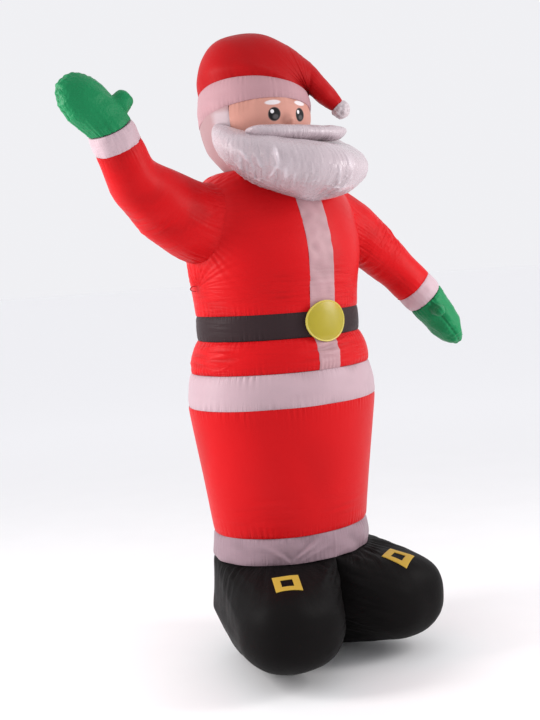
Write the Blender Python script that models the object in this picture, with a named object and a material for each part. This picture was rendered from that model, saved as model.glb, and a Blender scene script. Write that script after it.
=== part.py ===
"""A fan-blown garden Santa, 2.4 m tall, standing and waving with its right hand.

The real thing is a bag of coloured nylon sewn from sections and held out by
air. Each sewn section is one closed solid here, in the colour of its cloth:
boots, hem, skirt, coat band, waist, belt, chest, sleeves, cuffs, mittens,
face, hair, hat, beard and moustache, with the plackets and buckles as the
flat cloth pieces that they are.

Metres, +Z up. The figure faces -Y and its right side is at -X. It is built
round the robe's own axis, then slid so that the origin is on the ground under
the middle of its whole box, raised arm and boots included.
"""

import math
from collections import namedtuple

import bmesh
import bpy
from mathutils import Vector
from mathutils.bvhtree import BVHTree

# A seam is an oval ring of stitching round the body, its middle moved back by `back`.
Seam = namedtuple("Seam", "half_width half_depth back", defaults=(0.0,))

# Clearance between sections, and the thickness of a cloth piece laid on them.
SEAM_GAP = 0.0004
CLOTH = 0.004

# Heights of the sections, stacked from the ground up.
BOOT_HEIGHT = 0.401
HEM_HEIGHT = 0.096
SKIRT_HEIGHT = 0.482
COAT_BAND_HEIGHT = 0.127
WAIST_HEIGHT = 0.123
BELT_HEIGHT = 0.094
CHEST_HEIGHT = 0.305
SHOULDER_HEIGHT = 0.240
BREAST_HEIGHT = 0.125
NECK_TO_HAT = 0.206
HAT_BAND_HEIGHT = 0.088

# Seams round the body, from the ankles to the collar.
ANKLE = Seam(0.322, 0.267)
SKIRT_FOOT = Seam(0.313, 0.262)
SKIRT_TOP = Seam(0.387, 0.321)
COAT_FOOT = Seam(0.366, 0.308)
BELT_FOOT = Seam(0.330, 0.286)
BELT_TOP = Seam(0.330, 0.286)
CHEST_TOP = Seam(0.359, 0.304)
COLLAR = Seam(0.160, 0.150, 0.032)

# How far each section swells out between its two seams.
HEM_SWELL = 0.004
SKIRT_SWELL = 0.002
COAT_BAND_SWELL = 0.006
WAIST_SWELL = 0.012
BELT_SWELL = 0.003
CHEST_SWELL = 0.006

# White strip down the front of the coat.
UPPER_PLACKET_WIDTH = 0.117
LOWER_PLACKET_WIDTH = 0.098
PLACKET_DEPTH = 0.012
PLACKET_TOP_ANGLE = math.radians(50)

# Boots: a round heel on a small flat patch, and a big ball of a toe held clear of the ground.
BOOT_SPACING = 0.0010
HEEL_CENTRE = (0.155, 0.010)
HEEL_SPREAD = Seam(0.130, 0.215)
LEG_SWELL = 0.014
HEEL_ROUNDING = 0.200
SOLE_SHARE = 0.38
TOE_CENTRE = Vector((0.247, -0.296, 0.212))
TOE_RADII = Vector((0.194, 0.170, 0.157))
TOE_FULLNESS = 2.35
BOOT_SPLAY = math.radians(28)

# Arms. Each is a smooth path through its joints, with the right one raised.
RIGHT_ARM = ((-0.20, 0.00, 1.640), (-0.355, 0.00, 1.682), (-0.508, -0.02, 1.757),
             (-0.628, -0.05, 1.837))
RIGHT_WRIST = Vector((-0.743, -0.100, 2.012))
RIGHT_WRIST_WAY = Vector((-0.48, -0.15, 0.865))
LEFT_ARM = ((0.20, 0.00, 1.735), (0.370, -0.01, 1.635), (0.455, -0.03, 1.571),
            (0.543, -0.05, 1.488))
LEFT_WRIST = Vector((0.702, -0.100, 1.319))
LEFT_WRIST_WAY = Vector((0.63, -0.23, -0.743))
RIGHT_SHOULDER_RADIUS = 0.152
LEFT_SHOULDER_RADIUS = 0.124
SHOULDER_FLATTENING = 0.84
SLEEVE_END_RADIUS = 0.085
CUFF_LENGTH = 0.074
CUFF_END_RADIUS = 0.082
CUFF_SWELL = 0.002

# Mittens, with the thumb on one side of the palm.
MITTEN_LENGTH = 0.240
MITTEN_HALF_WIDTH = 0.086
MITTEN_HALF_THICKNESS = 0.080
RIGHT_HAND_WAY = Vector((-0.66, 0.00, 0.75))
RIGHT_THUMB_WAY = Vector((0.713, 0.00, 0.694))
LEFT_HAND_WAY = Vector((0.459, -0.328, -0.826))
LEFT_THUMB_WAY = Vector((-0.40, -0.90, -0.20))
PALM_SHIFT = 0.016
THUMB_ALONG = 0.048
THUMB_LENGTH = 0.134
THUMB_ROOT_RADIUS = 0.037
THUMB_TIP_RADIUS = 0.033

# Head, a little behind the middle of the body.
HEAD_Y = 0.068
NECK_RADIUS = 0.150
HEAD_RADIUS = 0.223
HEAD_BELOW_WIDEST = 0.245
HEAD_ABOVE_WIDEST = 0.290
FACE_HALF_ANGLE = math.radians(62)
NOSE_RADIUS = 0.030
NOSE_BELOW_BAND = 0.078

# Hat: its band rises by these slopes towards +X and +Y, so it sits high over the right brow.
# The crown fans round a fold at the front left, and from there the tail hangs. The outline is
# given as (outwards, up) from the middle of the band's top, along HAT_TURN from the front.
BAND_FOOT_TILT = Vector((-0.072, -0.270))
HAT_TILT = Vector((-0.219, -0.205))
HAT_TURN = math.radians(53.5)
CROWN_FOLD = ((0.213, -0.004), (0.223, 0.004))
CROWN_OUTLINE = ((-0.222, 0.075), (-0.197, 0.155), (-0.140, 0.222), (-0.040, 0.252),
                 (0.060, 0.243), (0.150, 0.197), (0.235, 0.129))
CROWN_HALF_DEPTHS = (0.216, 0.200, 0.180, 0.156, 0.130, 0.103, 0.074)
TAIL_END = (0.3305, -0.0485)
TAIL_END_RADIUS = 0.029
TAIL_SWELL = 0.004
POMPON_RADIUS = 0.036

# Beard, an air-filled roll round the chin, and the moustache lying on it.
BEARD_HALF_ANGLE = math.radians(80)
BEARD_FRONT_Z = 1.848
BEARD_END_RISE = 0.190
BEARD_LEAN = 0.016
BEARD_FRONT_REACH = 0.290
BEARD_END_REACH = 0.216
BEARD_HALF_DEPTH = 0.222
BEARD_HALF_HEIGHT = 0.112
BEARD_END_HALF_DEPTH = 0.048
BEARD_END_HALF_HEIGHT = 0.050
MOUSTACHE_HALF_LENGTH = 0.232
MOUSTACHE_Z = 1.992
MOUSTACHE_Y = -0.240
MOUSTACHE_BEND = 0.038
MOUSTACHE_HALF_DEPTH = 0.058
MOUSTACHE_HALF_HEIGHT = 0.027

# Buckles: an oval disc on the belt and a square frame on each boot.
BELT_BUCKLE = Seam(0.092, 0.077)
BELT_BUCKLE_DOME = 0.010
BELT_BUCKLE_LIFT = 0.008
BOOT_BUCKLE_SIDE = 0.096
BOOT_BUCKLE_BORDER = 0.026
RIGHT_BUCKLE_XY = (-0.268, -0.316)
LEFT_BUCKLE_XY = (0.237, -0.348)

# Facets round each kind of piece, and rows along it.
BODY_SIDES = 36
PLACKET_COLUMNS = 3
BOOT_SIDES = 30
BOOT_ROWS = 11
ARM_SIDES = 20
SLEEVE_ROWS = 8
MITTEN_ROWS = 8
THUMB_SIDES = 8
HEAD_SIDES = 28
BEARD_SIDES = 16
BEARD_ROWS = 16
MOUSTACHE_SIDES = 12
MOUSTACHE_ROWS = 12
FRAME_STEPS = 4
HEAD_ROWS = 6

# Small flat tabs of cloth in the coat's sides, for guy lines: middle, half height, half thickness.
TIE_LOOP = Vector((0.330, 0.050, 1.431))
TIE_LOOP_HALF_HEIGHT = 0.011
TIE_LOOP_HALF_THICKNESS = 0.003
TIE_LOOP_REACH = 0.032

# How far a cutter stands off the piece that it makes room for, and reaches past its end.
CUT_GAP = 0.0006
SUNK = 0.03

RED = (0.63, 0.010, 0.014)
WHITE = (0.72, 0.55, 0.60)
BLACK = (0.018, 0.015, 0.016)
GREEN = (0.020, 0.210, 0.085)
SKIN = (0.70, 0.36, 0.24)
GOLD = (0.62, 0.40, 0.07)
YELLOW = (0.66, 0.50, 0.05)


def mix(a, b, t):
    """The value a share t of the way from a to b."""
    return a + (b - a) * t


def ease(t):
    """A smooth step from 0 to 1."""
    t = min(1.0, max(0.0, t))
    return t * t * (3 - 2 * t)


def mix_seams(a, b, t, swell=0.0):
    """An oval between two seams, swollen outwards."""
    return Seam(
        mix(a.half_width, b.half_width, t) + swell, mix(a.half_depth, b.half_depth, t) + swell, mix(a.back, b.back, t))


def clear_scene():
    for item in list(bpy.data.objects):
        bpy.data.objects.remove(item, do_unlink=True)


def cloth_material(name, colour, roughness=0.45, alpha=1.0):
    """Plain coloured nylon."""
    material = bpy.data.materials.get(name)
    if material:
        return material
    material = bpy.data.materials.new(name)
    material.use_nodes = True
    shader = material.node_tree.nodes["Principled BSDF"]
    shader.inputs["Base Color"].default_value = (*colour, 1.0)
    shader.inputs["Roughness"].default_value = roughness
    shader.inputs["Metallic"].default_value = 0.0
    shader.inputs["Alpha"].default_value = alpha
    material.diffuse_color = (*colour, alpha)
    return material


def add_mesh(name, bm, material, smooth_angle=math.radians(50)):
    """Makes an object from bm, with its faces turned outwards and shaded smooth."""
    bmesh.ops.recalc_face_normals(bm, faces=bm.faces)
    mesh = bpy.data.meshes.new(name)
    bm.to_mesh(mesh)
    bm.free()
    mesh.shade_smooth()
    mesh.set_sharp_from_angle(angle=smooth_angle)
    piece = bpy.data.objects.new(name, mesh)
    piece.data.materials.append(material)
    bpy.context.scene.collection.objects.link(piece)
    return piece


def skin_rings(bm, rings):
    """Bridges each ring of points to the next, point by point, and closes both ends.

    An end that is a single point becomes a fan, and any other end one flat face.
    """
    levels = [[bm.verts.new(point) for point in ring] for ring in rings]
    for low, high in zip(levels, levels[1:]):
        count = max(len(low), len(high))
        for i in range(count):
            j = (i + 1) % count
            corners = [low[i % len(low)], low[j % len(low)], high[j % len(high)], high[i % len(high)]]
            bm.faces.new(list(dict.fromkeys(corners)))
    for end in (levels[0], levels[-1]):
        if len(end) > 2:
            bm.faces.new(end)


def loft(name, rings, material):
    bm = bmesh.new()
    skin_rings(bm, rings)
    return add_mesh(name, bm, material)


def as_helper(piece):
    """Keeps a cutter or a union partner out of the object."""
    piece.hide_render = True
    piece.display_type = "WIRE"
    return piece


def combine(piece, other, operation):
    """Adds an exact Boolean of piece with other, which stays hidden."""
    modifier = piece.modifiers.new(operation.lower() + "_" + other.name, "BOOLEAN")
    modifier.operation = operation
    modifier.solver = "EXACT"
    modifier.object = as_helper(other)
    return piece


def oval(seam, z, sides=BODY_SIDES, grow=0.0):
    """Points round an oval seam, from the front towards +X."""
    return [
        Vector((
            (seam.half_width + grow) * math.sin(2 * math.pi * i / sides),
            seam.back - (seam.half_depth + grow) * math.cos(2 * math.pi * i / sides),
            z,
        ))
        for i in range(sides)
    ]


def arc_point(seam, angle, z, inset=0.0):
    return Vector((
        (seam.half_width - inset) * math.sin(angle),
        seam.back - (seam.half_depth - inset) * math.cos(angle),
        z,
    ))


def grooved_oval(seam, z, width, depth):
    """An oval with a shallow groove of that width down its front, for a placket."""
    edge = math.asin(width / 2 / seam.half_width)
    sides = BODY_SIDES - PLACKET_COLUMNS
    outer = [
        arc_point(seam, mix(edge, 2 * math.pi - edge, i / sides), z) for i in range(sides + 1)
    ]
    inner = [
        arc_point(seam, mix(-edge, edge, i / PLACKET_COLUMNS), z, depth) for i in range(PLACKET_COLUMNS + 1)
    ]
    return outer + inner


def placket_ring(seam, z, width, depth):
    """The flat strip's section: the oval's own front, and its copy a cloth's depth inside."""
    edge = math.asin(width / 2 / seam.half_width)
    steps = range(PLACKET_COLUMNS + 1)
    outer = [arc_point(seam, mix(-edge, edge, i / PLACKET_COLUMNS), z) for i in steps]
    inner = [arc_point(seam, mix(edge, -edge, i / PLACKET_COLUMNS), z, depth) for i in steps]
    return outer + inner


def trimmed(rows):
    """Pulls the end rows of a section together by half a seam gap at each end."""
    rows = list(rows)
    (low, low_z), (high, high_z) = rows[0], rows[-1]
    rows[0] = (low, low_z + SEAM_GAP / 2)
    rows[-1] = (high, high_z - SEAM_GAP / 2)
    return rows


def section_rows(low, high, z, height, swell, rows):
    """(seam, height) rows of a section between two seams, bulging as a shallow bow."""
    steps = [i / rows for i in range(rows + 1)]
    return [(mix_seams(low, high, t, swell * 4 * t * (1 - t)), z + height * t) for t in steps]


def chest_rows(z):
    """Rows from the belt to the collar. The sides stay wide up to the shoulders, while the
    breast and back already slope in from BREAST_HEIGHT."""
    full = CHEST_HEIGHT + SHOULDER_HEIGHT
    heights = [CHEST_HEIGHT * i / 5 for i in range(5)]
    heights += [CHEST_HEIGHT + SHOULDER_HEIGHT * math.sin(math.pi / 2 * i / 7) for i in range(8)]
    rows = []
    for height in heights:
        swell = CHEST_SWELL * math.sin(math.pi * min(1.0, height / CHEST_HEIGHT))
        lower = mix_seams(BELT_TOP, CHEST_TOP, ease(height / CHEST_HEIGHT), swell)
        side = max(0.0, (height - CHEST_HEIGHT) / SHOULDER_HEIGHT)
        breast = max(0.0, (height - BREAST_HEIGHT) / (full - BREAST_HEIGHT))
        rows.append((Seam(
            mix(COLLAR.half_width, lower.half_width, math.sqrt(max(0.0, 1 - side ** 2))),
            mix(COLLAR.half_depth, lower.half_depth, math.sqrt(max(0.0, 1 - breast ** 2))),
            COLLAR.back * breast ** 2,
        ), z + height))
    return rows


def levels():
    """Heights of the seams, each named for the section that starts there."""
    named, z = {}, 0.0
    for name, height in (
        ("boots", BOOT_HEIGHT), ("hem", HEM_HEIGHT), ("skirt", SKIRT_HEIGHT),
        ("coat_band", COAT_BAND_HEIGHT), ("waist", WAIST_HEIGHT), ("belt", BELT_HEIGHT),
        ("chest", CHEST_HEIGHT + SHOULDER_HEIGHT), ("head", NECK_TO_HAT), ("hat_band", HAT_BAND_HEIGHT),
        ("crown", 0.0),
    ):
        named[name] = z
        z += height
    return named


def build_body(z, red, white, black):
    """The robe and coat, as one oval section on top of the next."""
    loft("lower_hem", [oval(s, h) for s, h in trimmed(
        section_rows(ANKLE, SKIRT_FOOT, z["hem"], HEM_HEIGHT, HEM_SWELL, 3))], white)
    loft("robe_skirt", [oval(s, h) for s, h in trimmed(
        section_rows(SKIRT_FOOT, SKIRT_TOP, z["skirt"], SKIRT_HEIGHT, SKIRT_SWELL, 8))], red)
    loft("coat_band", [oval(s, h) for s, h in trimmed(
        section_rows(SKIRT_TOP, COAT_FOOT, z["coat_band"], COAT_BAND_HEIGHT, COAT_BAND_SWELL, 4))], white)
    loft("belt", [oval(s, h) for s, h in trimmed(
        section_rows(BELT_FOOT, BELT_TOP, z["belt"], BELT_HEIGHT, BELT_SWELL, 3))], black)
    waist = trimmed(section_rows(COAT_FOOT, BELT_FOOT, z["waist"], WAIST_HEIGHT, WAIST_SWELL, 4))
    add_grooved("coat_waist", "lower_placket", waist, LOWER_PLACKET_WIDTH, len(waist), red, white)
    chest = trimmed(chest_rows(z["chest"]))
    under_arc = [h for _, h in chest if h <= z["chest"] + CHEST_HEIGHT + SHOULDER_HEIGHT * math.sin(PLACKET_TOP_ANGLE)]
    return add_grooved("coat_chest", "upper_placket", chest, UPPER_PLACKET_WIDTH, len(under_arc), red, white)


def add_grooved(body_name, placket_name, rows, width, placket_rows, red, white):
    """A body section with a groove down its front, and the white placket that lies flush in it."""
    groove = PLACKET_DEPTH + SEAM_GAP
    rings = []
    for i, (seam, height) in enumerate(rows):
        rings.append(grooved_oval(seam, height, width + 2 * SEAM_GAP, groove if i < placket_rows else SEAM_GAP))
    body = loft(body_name, rings, red)
    loft(placket_name, [placket_ring(s, h, width, PLACKET_DEPTH) for s, h in rows[:placket_rows]], white)
    return body


def half_ankle(z, swell=0.0):
    """The left half of the ankle seam: the oval's +X side, closed by a straight inner edge."""
    edge = BOOT_SPACING / 2
    rim = [arc_point(ANKLE, math.pi * i / 16, z, -swell) for i in range(17)]
    return [Vector((max(point.x, edge), point.y, z)) for point in rim]


def boot_hull():
    """Convex wrap of the leg, the rounded heel and the toe ball of the left boot."""
    top = BOOT_HEIGHT - SEAM_GAP / 2
    cloud = half_ankle(top) + half_ankle(HEEL_ROUNDING, LEG_SWELL)
    for k in range(7):
        angle = math.pi / 2 * k / 6
        share = mix(SOLE_SHARE, 1.0, math.sin(angle))
        z = HEEL_ROUNDING * (1 - math.cos(angle))
        for i in range(24):
            turn = 2 * math.pi * i / 24
            x = HEEL_CENTRE[0] + HEEL_SPREAD.half_width * share * math.sin(turn)
            y = HEEL_CENTRE[1] - HEEL_SPREAD.half_depth * share * math.cos(turn)
            cloud.append(Vector((max(x, BOOT_SPACING / 2), y, z)))
    for k in range(1, 16):
        for i in range(32):
            lift, turn = math.pi * k / 16 - math.pi / 2, 2 * math.pi * i / 32
            way = Vector((math.cos(lift) * math.sin(turn), math.cos(lift) * math.cos(turn), math.sin(lift)))
            way /= sum(abs(part) ** TOE_FULLNESS for part in way) ** (1 / TOE_FULLNESS)
            cloud.append(TOE_CENTRE + way * TOE_RADII)
    bm = bmesh.new()
    for point in cloud:
        bm.verts.new(point)
    bmesh.ops.convex_hull(bm, input=bm.verts)
    tree = BVHTree.FromBMesh(bm)
    bm.free()
    return tree


def boot_rings():
    """Level rings of the left boot, found by looking out from the leg's middle."""
    hull = boot_hull()
    top = BOOT_HEIGHT - SEAM_GAP / 2
    rings = []
    for k in range(BOOT_ROWS + 1):
        z = top * (1 - math.cos(math.pi * k / BOOT_ROWS)) / 2
        probe = min(max(z, 0.0002), top - 0.0002)
        middle = Vector((HEEL_CENTRE[0], 0.0, probe))
        ring = []
        for i in range(BOOT_SIDES):
            turn = 2 * math.pi * i / BOOT_SIDES
            turn -= 0.45 * math.sin(turn)
            way = Vector((math.sin(turn), -math.cos(turn), 0.0))
            hit = hull.ray_cast(middle, way)[0]
            ring.append(Vector((hit.x, hit.y, z)))
        rings.append(ring)
    return rings


def mirrored(points):
    return [Vector((-point.x, point.y, point.z)) for point in points]


def square_loop(reach, steps):
    """Even points round a square of half-size `reach`."""
    corners = [Vector((-1, -1)), Vector((1, -1)), Vector((1, 1)), Vector((-1, 1))]
    return [
        reach * corners[side].lerp(corners[(side + 1) % 4], i / steps)
        for side in range(4) for i in range(steps)
    ]


def square_frame(name, centre, side, border, thickness, turn, surface, material):
    """A square cloth frame laid on the curved surface below it, with a square hole."""
    bm = bmesh.new()
    loops = []
    inner, outer = side / 2 - border, side / 2
    for reach, lift in (
        (outer, -thickness), (outer, thickness), ((inner + outer) / 2, thickness), (inner, thickness),
        (inner, -thickness), ((inner + outer) / 2, -thickness),
    ):
        loop = []
        for u, v in square_loop(reach, FRAME_STEPS):
            x = centre[0] + u * math.cos(turn) - v * math.sin(turn)
            y = centre[1] + u * math.sin(turn) + v * math.cos(turn)
            spot, normal = surface.ray_cast(Vector((x, y, 1.0)), Vector((0, 0, -1)))[:2]
            loop.append(bm.verts.new(spot + normal * lift))
        loops.append(loop)
    for first, second in zip(loops, loops[1:] + loops[:1]):
        for i, (a, b) in enumerate(zip(first, second)):
            j = (i + 1) % len(first)
            bm.faces.new([a, first[j], second[j], b])
    return add_mesh(name, bm, material, math.radians(30))


def swollen_copy(piece, grow):
    """A cutter of the piece's own shape, moved out along its normals."""
    bm = bmesh.new()
    bm.from_mesh(piece.data)
    for vert, way in [(vert, vert.normal.copy()) for vert in bm.verts]:
        vert.co += way * grow
    return add_mesh(piece.name + "_cutter", bm, piece.data.materials[0])


def surface_of(piece):
    """A tree for finding spots on a piece's surface."""
    bm = bmesh.new()
    bm.from_mesh(piece.data)
    bmesh.ops.triangulate(bm, faces=bm.faces)
    tree = BVHTree.FromBMesh(bm)
    bm.free()
    return tree


def build_boots(black, gold):
    rings = boot_rings()
    for side, spot in (("left", LEFT_BUCKLE_XY), ("right", RIGHT_BUCKLE_XY)):
        sign = 1 if side == "left" else -1
        boot = loft(side + "_boot", rings if sign > 0 else [mirrored(ring) for ring in rings], black)
        buckle = square_frame(
            side + "_boot_buckle", spot, BOOT_BUCKLE_SIDE, BOOT_BUCKLE_BORDER, CLOTH, sign * BOOT_SPLAY,
            surface_of(boot), gold)
        combine(buckle, swollen_copy(boot, CUT_GAP), "DIFFERENCE")


def oval_buckle(z, yellow):
    """The see-through oval disc on the belt, bowed to the belt's own curve."""
    middle = z["belt"] + BELT_HEIGHT / 2 + BELT_BUCKLE_LIFT
    rings = []
    for share, lift in ((0.0, 0.0), (0.6, 0.0), (1.0, 0.0), (1.0, 0.3), (0.9, 0.62), (0.6, 0.90), (0.0, 1.0)):
        ring = []
        for i in range(1 if share == 0.0 else 28):
            turn = 2 * math.pi * i / 28
            x = BELT_BUCKLE.half_width * share * math.sin(turn)
            height = middle + BELT_BUCKLE.half_depth * share * math.cos(turn)
            ring.append(Vector((x, front_of_body(x) - SEAM_GAP - BELT_BUCKLE_DOME * lift, height)))
        rings.append(ring)
    return loft("belt_buckle", rings, yellow)


def front_of_body(x):
    """Y of the foremost skin near the belt at that x, over the sections the buckle covers."""
    widest = Seam(BELT_TOP.half_width + 0.016, BELT_TOP.half_depth + 0.016)
    return -widest.half_depth * math.sqrt(1 - (x / widest.half_width) ** 2)


def build_tie_loops(chest_cutter, red):
    """A flat tab at each side of the chest, trimmed to the cloth it is sewn on."""
    for side, sign in (("left", 1), ("right", -1)):
        rings = []
        for share, size in ((0.0, 1.0), (0.8, 1.0), (0.95, 0.8), (1.0, 0.5)):
            rings.append([
                Vector((
                    sign * (TIE_LOOP.x + TIE_LOOP_REACH * share),
                    TIE_LOOP.y + TIE_LOOP_HALF_THICKNESS * size * across,
                    TIE_LOOP.z + TIE_LOOP_HALF_HEIGHT * size * up,
                )) for across, up in ((-1, -0.7), (-0.6, -1), (0.6, -1), (1, -0.7), (1, 0.7), (0.6, 1), (-0.6, 1), (-1, 0.7))
            ])
        combine(loft(side + "_tie_loop", rings, red), chest_cutter, "DIFFERENCE")


def smooth_path(points, steps):
    """Even-parameter samples of a Catmull-Rom curve through the points."""
    points = [Vector(point) for point in points]
    points = [2 * points[0] - points[1]] + points + [2 * points[-1] - points[-2]]
    spans = len(points) - 3
    samples = []
    for k in range(steps + 1):
        u = spans * k / steps
        i = min(int(u), spans - 1)
        t = u - i
        a, b, c, d = points[i:i + 4]
        samples.append(0.5 * (2 * b + (c - a) * t + (2 * a - 5 * b + 4 * c - d) * t * t
                              + (3 * b - a - 3 * c + d) * t ** 3))
    return samples


def hoop(centre, way, radius, depth, sides, up=Vector((0, -1, 0))):
    """An oval hoop square to a direction; depth is its half size along `up`."""
    way = way.normalized()
    across = way.cross(up).normalized()
    lift = across.cross(way).normalized()
    return [
        centre + across * radius * math.cos(2 * math.pi * i / sides) + lift * depth * math.sin(2 * math.pi * i / sides)
        for i in range(sides)
    ]


def build_arm(side, joints, shoulder, wrist, wrist_way, hand_way, thumb_way, chest_cutter, red, white, green):
    """Sleeve, cuff and mitten of one arm, each ending flat on the next one's seam."""
    wrist_way = wrist_way.normalized()
    cuff_foot = wrist - wrist_way * CUFF_LENGTH
    path = smooth_path(list(joints) + [cuff_foot], SLEEVE_ROWS)
    rings = []
    for k, centre in enumerate(path):
        t = k / SLEEVE_ROWS
        ahead = path[min(k + 1, SLEEVE_ROWS)] - path[max(k - 1, 0)]
        if k == SLEEVE_ROWS:
            ahead, centre = wrist_way, centre - wrist_way * SEAM_GAP
        narrow = ease((t - 0.18) / 0.82)
        radius = mix(shoulder, SLEEVE_END_RADIUS, narrow)
        rings.append(hoop(centre, ahead, radius, radius * mix(SHOULDER_FLATTENING, 1.0, narrow), ARM_SIDES))
    sleeve = loft(side + "_sleeve", rings, red)
    combine(sleeve, chest_cutter, "DIFFERENCE")

    rows = []
    for k in range(4):
        t = k / 3
        radius = mix(SLEEVE_END_RADIUS - 0.002, CUFF_END_RADIUS, t) + CUFF_SWELL * 4 * t * (1 - t)
        rows.append(hoop(cuff_foot + wrist_way * mix(SEAM_GAP / 2, CUFF_LENGTH - SEAM_GAP, t), wrist_way, radius, radius, ARM_SIDES))
    loft(side + "_cuff", rows, white)
    build_mitten(side, wrist, wrist_way, hand_way.normalized(), thumb_way, green)


def build_mitten(side, wrist, wrist_way, hand_way, thumb_way, green):
    """A pillow of a hand that leaves the cuff round and ends in a blunt tip."""
    across = (thumb_way - thumb_way.dot(hand_way) * hand_way).normalized()
    palm = hand_way.cross(across).normalized()
    rings = []
    for k in range(MITTEN_ROWS + 1):
        t = k / MITTEN_ROWS
        reach = 1 - (1 - t) ** 1.5 if t > 0.5 else t * (1 - 0.5 ** 1.5) / 0.5
        full = max(0.0, 1 - max(0.0, (reach - 0.42) / 0.58) ** 2.6) ** 0.5
        swell = ease(reach / 0.42)
        width = mix(CUFF_END_RADIUS * 0.90, MITTEN_HALF_WIDTH, swell) * full
        thickness = mix(CUFF_END_RADIUS * 0.90, MITTEN_HALF_THICKNESS, swell) * full
        way = wrist_way.lerp(hand_way, ease(t * 2.5)).normalized()
        centre = wrist + wrist_way * SEAM_GAP - across * PALM_SHIFT * ease(reach * 2) + (hand_way * reach + (wrist_way - hand_way) * 0.12 * math.sin(math.pi * reach)) * MITTEN_LENGTH
        if k == MITTEN_ROWS:
            rings.append([centre])
        else:
            rings.append(hoop(centre, way, width, thickness, ARM_SIDES, palm))
    mitten = loft(side + "_mitten", rings, green)

    root = wrist + hand_way * THUMB_ALONG + across * 0.010
    tip_way = thumb_way.normalized()
    rings = []
    for share, size in ((0.0, 1.0), (0.35, 0.98), (0.62, 0.90), (0.80, 0.74), (0.93, 0.46)):
        radius = mix(THUMB_ROOT_RADIUS, THUMB_TIP_RADIUS, share) * (size if share > 0.62 else 1.0)
        rings.append(hoop(root + tip_way * THUMB_LENGTH * share, tip_way, radius, radius, THUMB_SIDES, palm))
    rings.append([root + tip_way * THUMB_LENGTH])
    combine(mitten, loft(side + "_thumb_helper", rings, green), "UNION")


def head_oval(z_above_neck):
    """The head's half width, and its slide back over the neck, at a height above the neck."""
    h = z_above_neck - HEAD_BELOW_WIDEST
    if h < 0:
        share = math.sqrt(max(0.0, 1 - (h / HEAD_BELOW_WIDEST) ** 2 * (1 - (NECK_RADIUS / HEAD_RADIUS) ** 2)))
    else:
        share = math.sqrt(max(0.0, 1 - (h / HEAD_ABOVE_WIDEST) ** 2))
    return HEAD_RADIUS * share


def head_point(angle, z, neck_z, grow=0.0):
    radius = head_oval(z - neck_z) + grow
    slide = mix(COLLAR.back, HEAD_Y, ease((z - neck_z) / 0.10))
    return Vector((radius * math.sin(angle), slide - radius * math.cos(angle), z))


def tilted(point, level, tilt):
    """Height of a sloping plane over a point."""
    return level + tilt.x * point.x + tilt.y * (point.y - HEAD_Y)


LEVEL = Vector((0.0, 0.0))


def head_slices(z, low, grow=0.0):
    """Rings of the face and of the hair, from a height up to the hat's band."""
    edge, nick = FACE_HALF_ANGLE, 2 * SEAM_GAP / HEAD_RADIUS
    high = z["hat_band"] - SEAM_GAP / 2
    return (
        head_sector(z, low, high, LEVEL, BAND_FOOT_TILT, -edge + nick, edge - nick, 12, HEAD_ROWS, grow),
        head_sector(z, low, high, LEVEL, BAND_FOOT_TILT, edge + nick, 2 * math.pi - edge - nick, 20, HEAD_ROWS, grow),
    )


def head_sector(z, low, high, low_tilt, high_tilt, start, end, steps, rows, grow=0.0, apex=True):
    """Rings of a slice of the head between two angles, from one tilted plane to another."""
    rings = []
    for k in range(rows + 1):
        t = k / rows
        ring = []
        for i in range(steps + 1 if apex else steps):
            angle = mix(start, end, i / steps)
            flat = mix(low, high, t)
            point = head_point(angle, flat, z["head"], grow)
            for _ in range(3):
                height = mix(tilted(point, low, low_tilt), tilted(point, high, high_tilt), t)
                point = head_point(angle, height, z["head"], grow)
            ring.append(point)
        if apex:
            middle = (start + end) / 2
            core = Vector((0.0, mix(COLLAR.back, HEAD_Y, ease((mix(low, high, t) - z["head"]) / 0.10)), 0.0))
            core += Vector((math.sin(middle), -math.cos(middle), 0.0)) * SEAM_GAP * 2
            core.z = mix(tilted(core, low, low_tilt), tilted(core, high, high_tilt), t)
            ring.append(core)
        rings.append(ring)
    return rings


def build_head(z, red, white, skin):
    neck, band, crown = z["head"], z["hat_band"], z["crown"]
    front, back = head_slices(z, neck + SEAM_GAP / 2)
    face = loft("face", front, skin)
    loft("hair", back, white)
    nose_z = tilted(head_point(0.0, band, neck), band, BAND_FOOT_TILT) - NOSE_BELOW_BAND
    centre = head_point(0.0, nose_z, neck) + Vector((0.0, 0.006, 0.0))
    nose = [[centre + Vector((0, 0, -NOSE_RADIUS))]]
    for k in range(1, 6):
        lift = -math.pi / 2 + math.pi * k / 6
        nose.append([
            centre + Vector((
                NOSE_RADIUS * math.cos(lift) * math.sin(2 * math.pi * i / 12),
                -NOSE_RADIUS * math.cos(lift) * math.cos(2 * math.pi * i / 12),
                NOSE_RADIUS * math.sin(lift),
            )) for i in range(12)
        ])
    nose.append([centre + Vector((0, 0, NOSE_RADIUS))])
    combine(face, loft("nose_helper", nose, skin), "UNION")
    loft("hat_band", head_sector(
        z, band + SEAM_GAP / 2, crown - SEAM_GAP / 2, BAND_FOOT_TILT, HAT_TILT, 0.0, 2 * math.pi, HEAD_SIDES, 3, 0.003, False), white)
    build_hat(z, red, white)


def hat_spot(z, out, up, aside=0.0):
    """A point given outwards and up in the hat's own upright plane, and sideways from it."""
    turn = Vector((math.sin(HAT_TURN), -math.cos(HAT_TURN), 0.0))
    side = Vector((math.cos(HAT_TURN), math.sin(HAT_TURN), 0.0))
    return Vector((0.0, HEAD_Y, z["crown"] + SEAM_GAP / 2 + up)) + turn * out + side * aside


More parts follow.
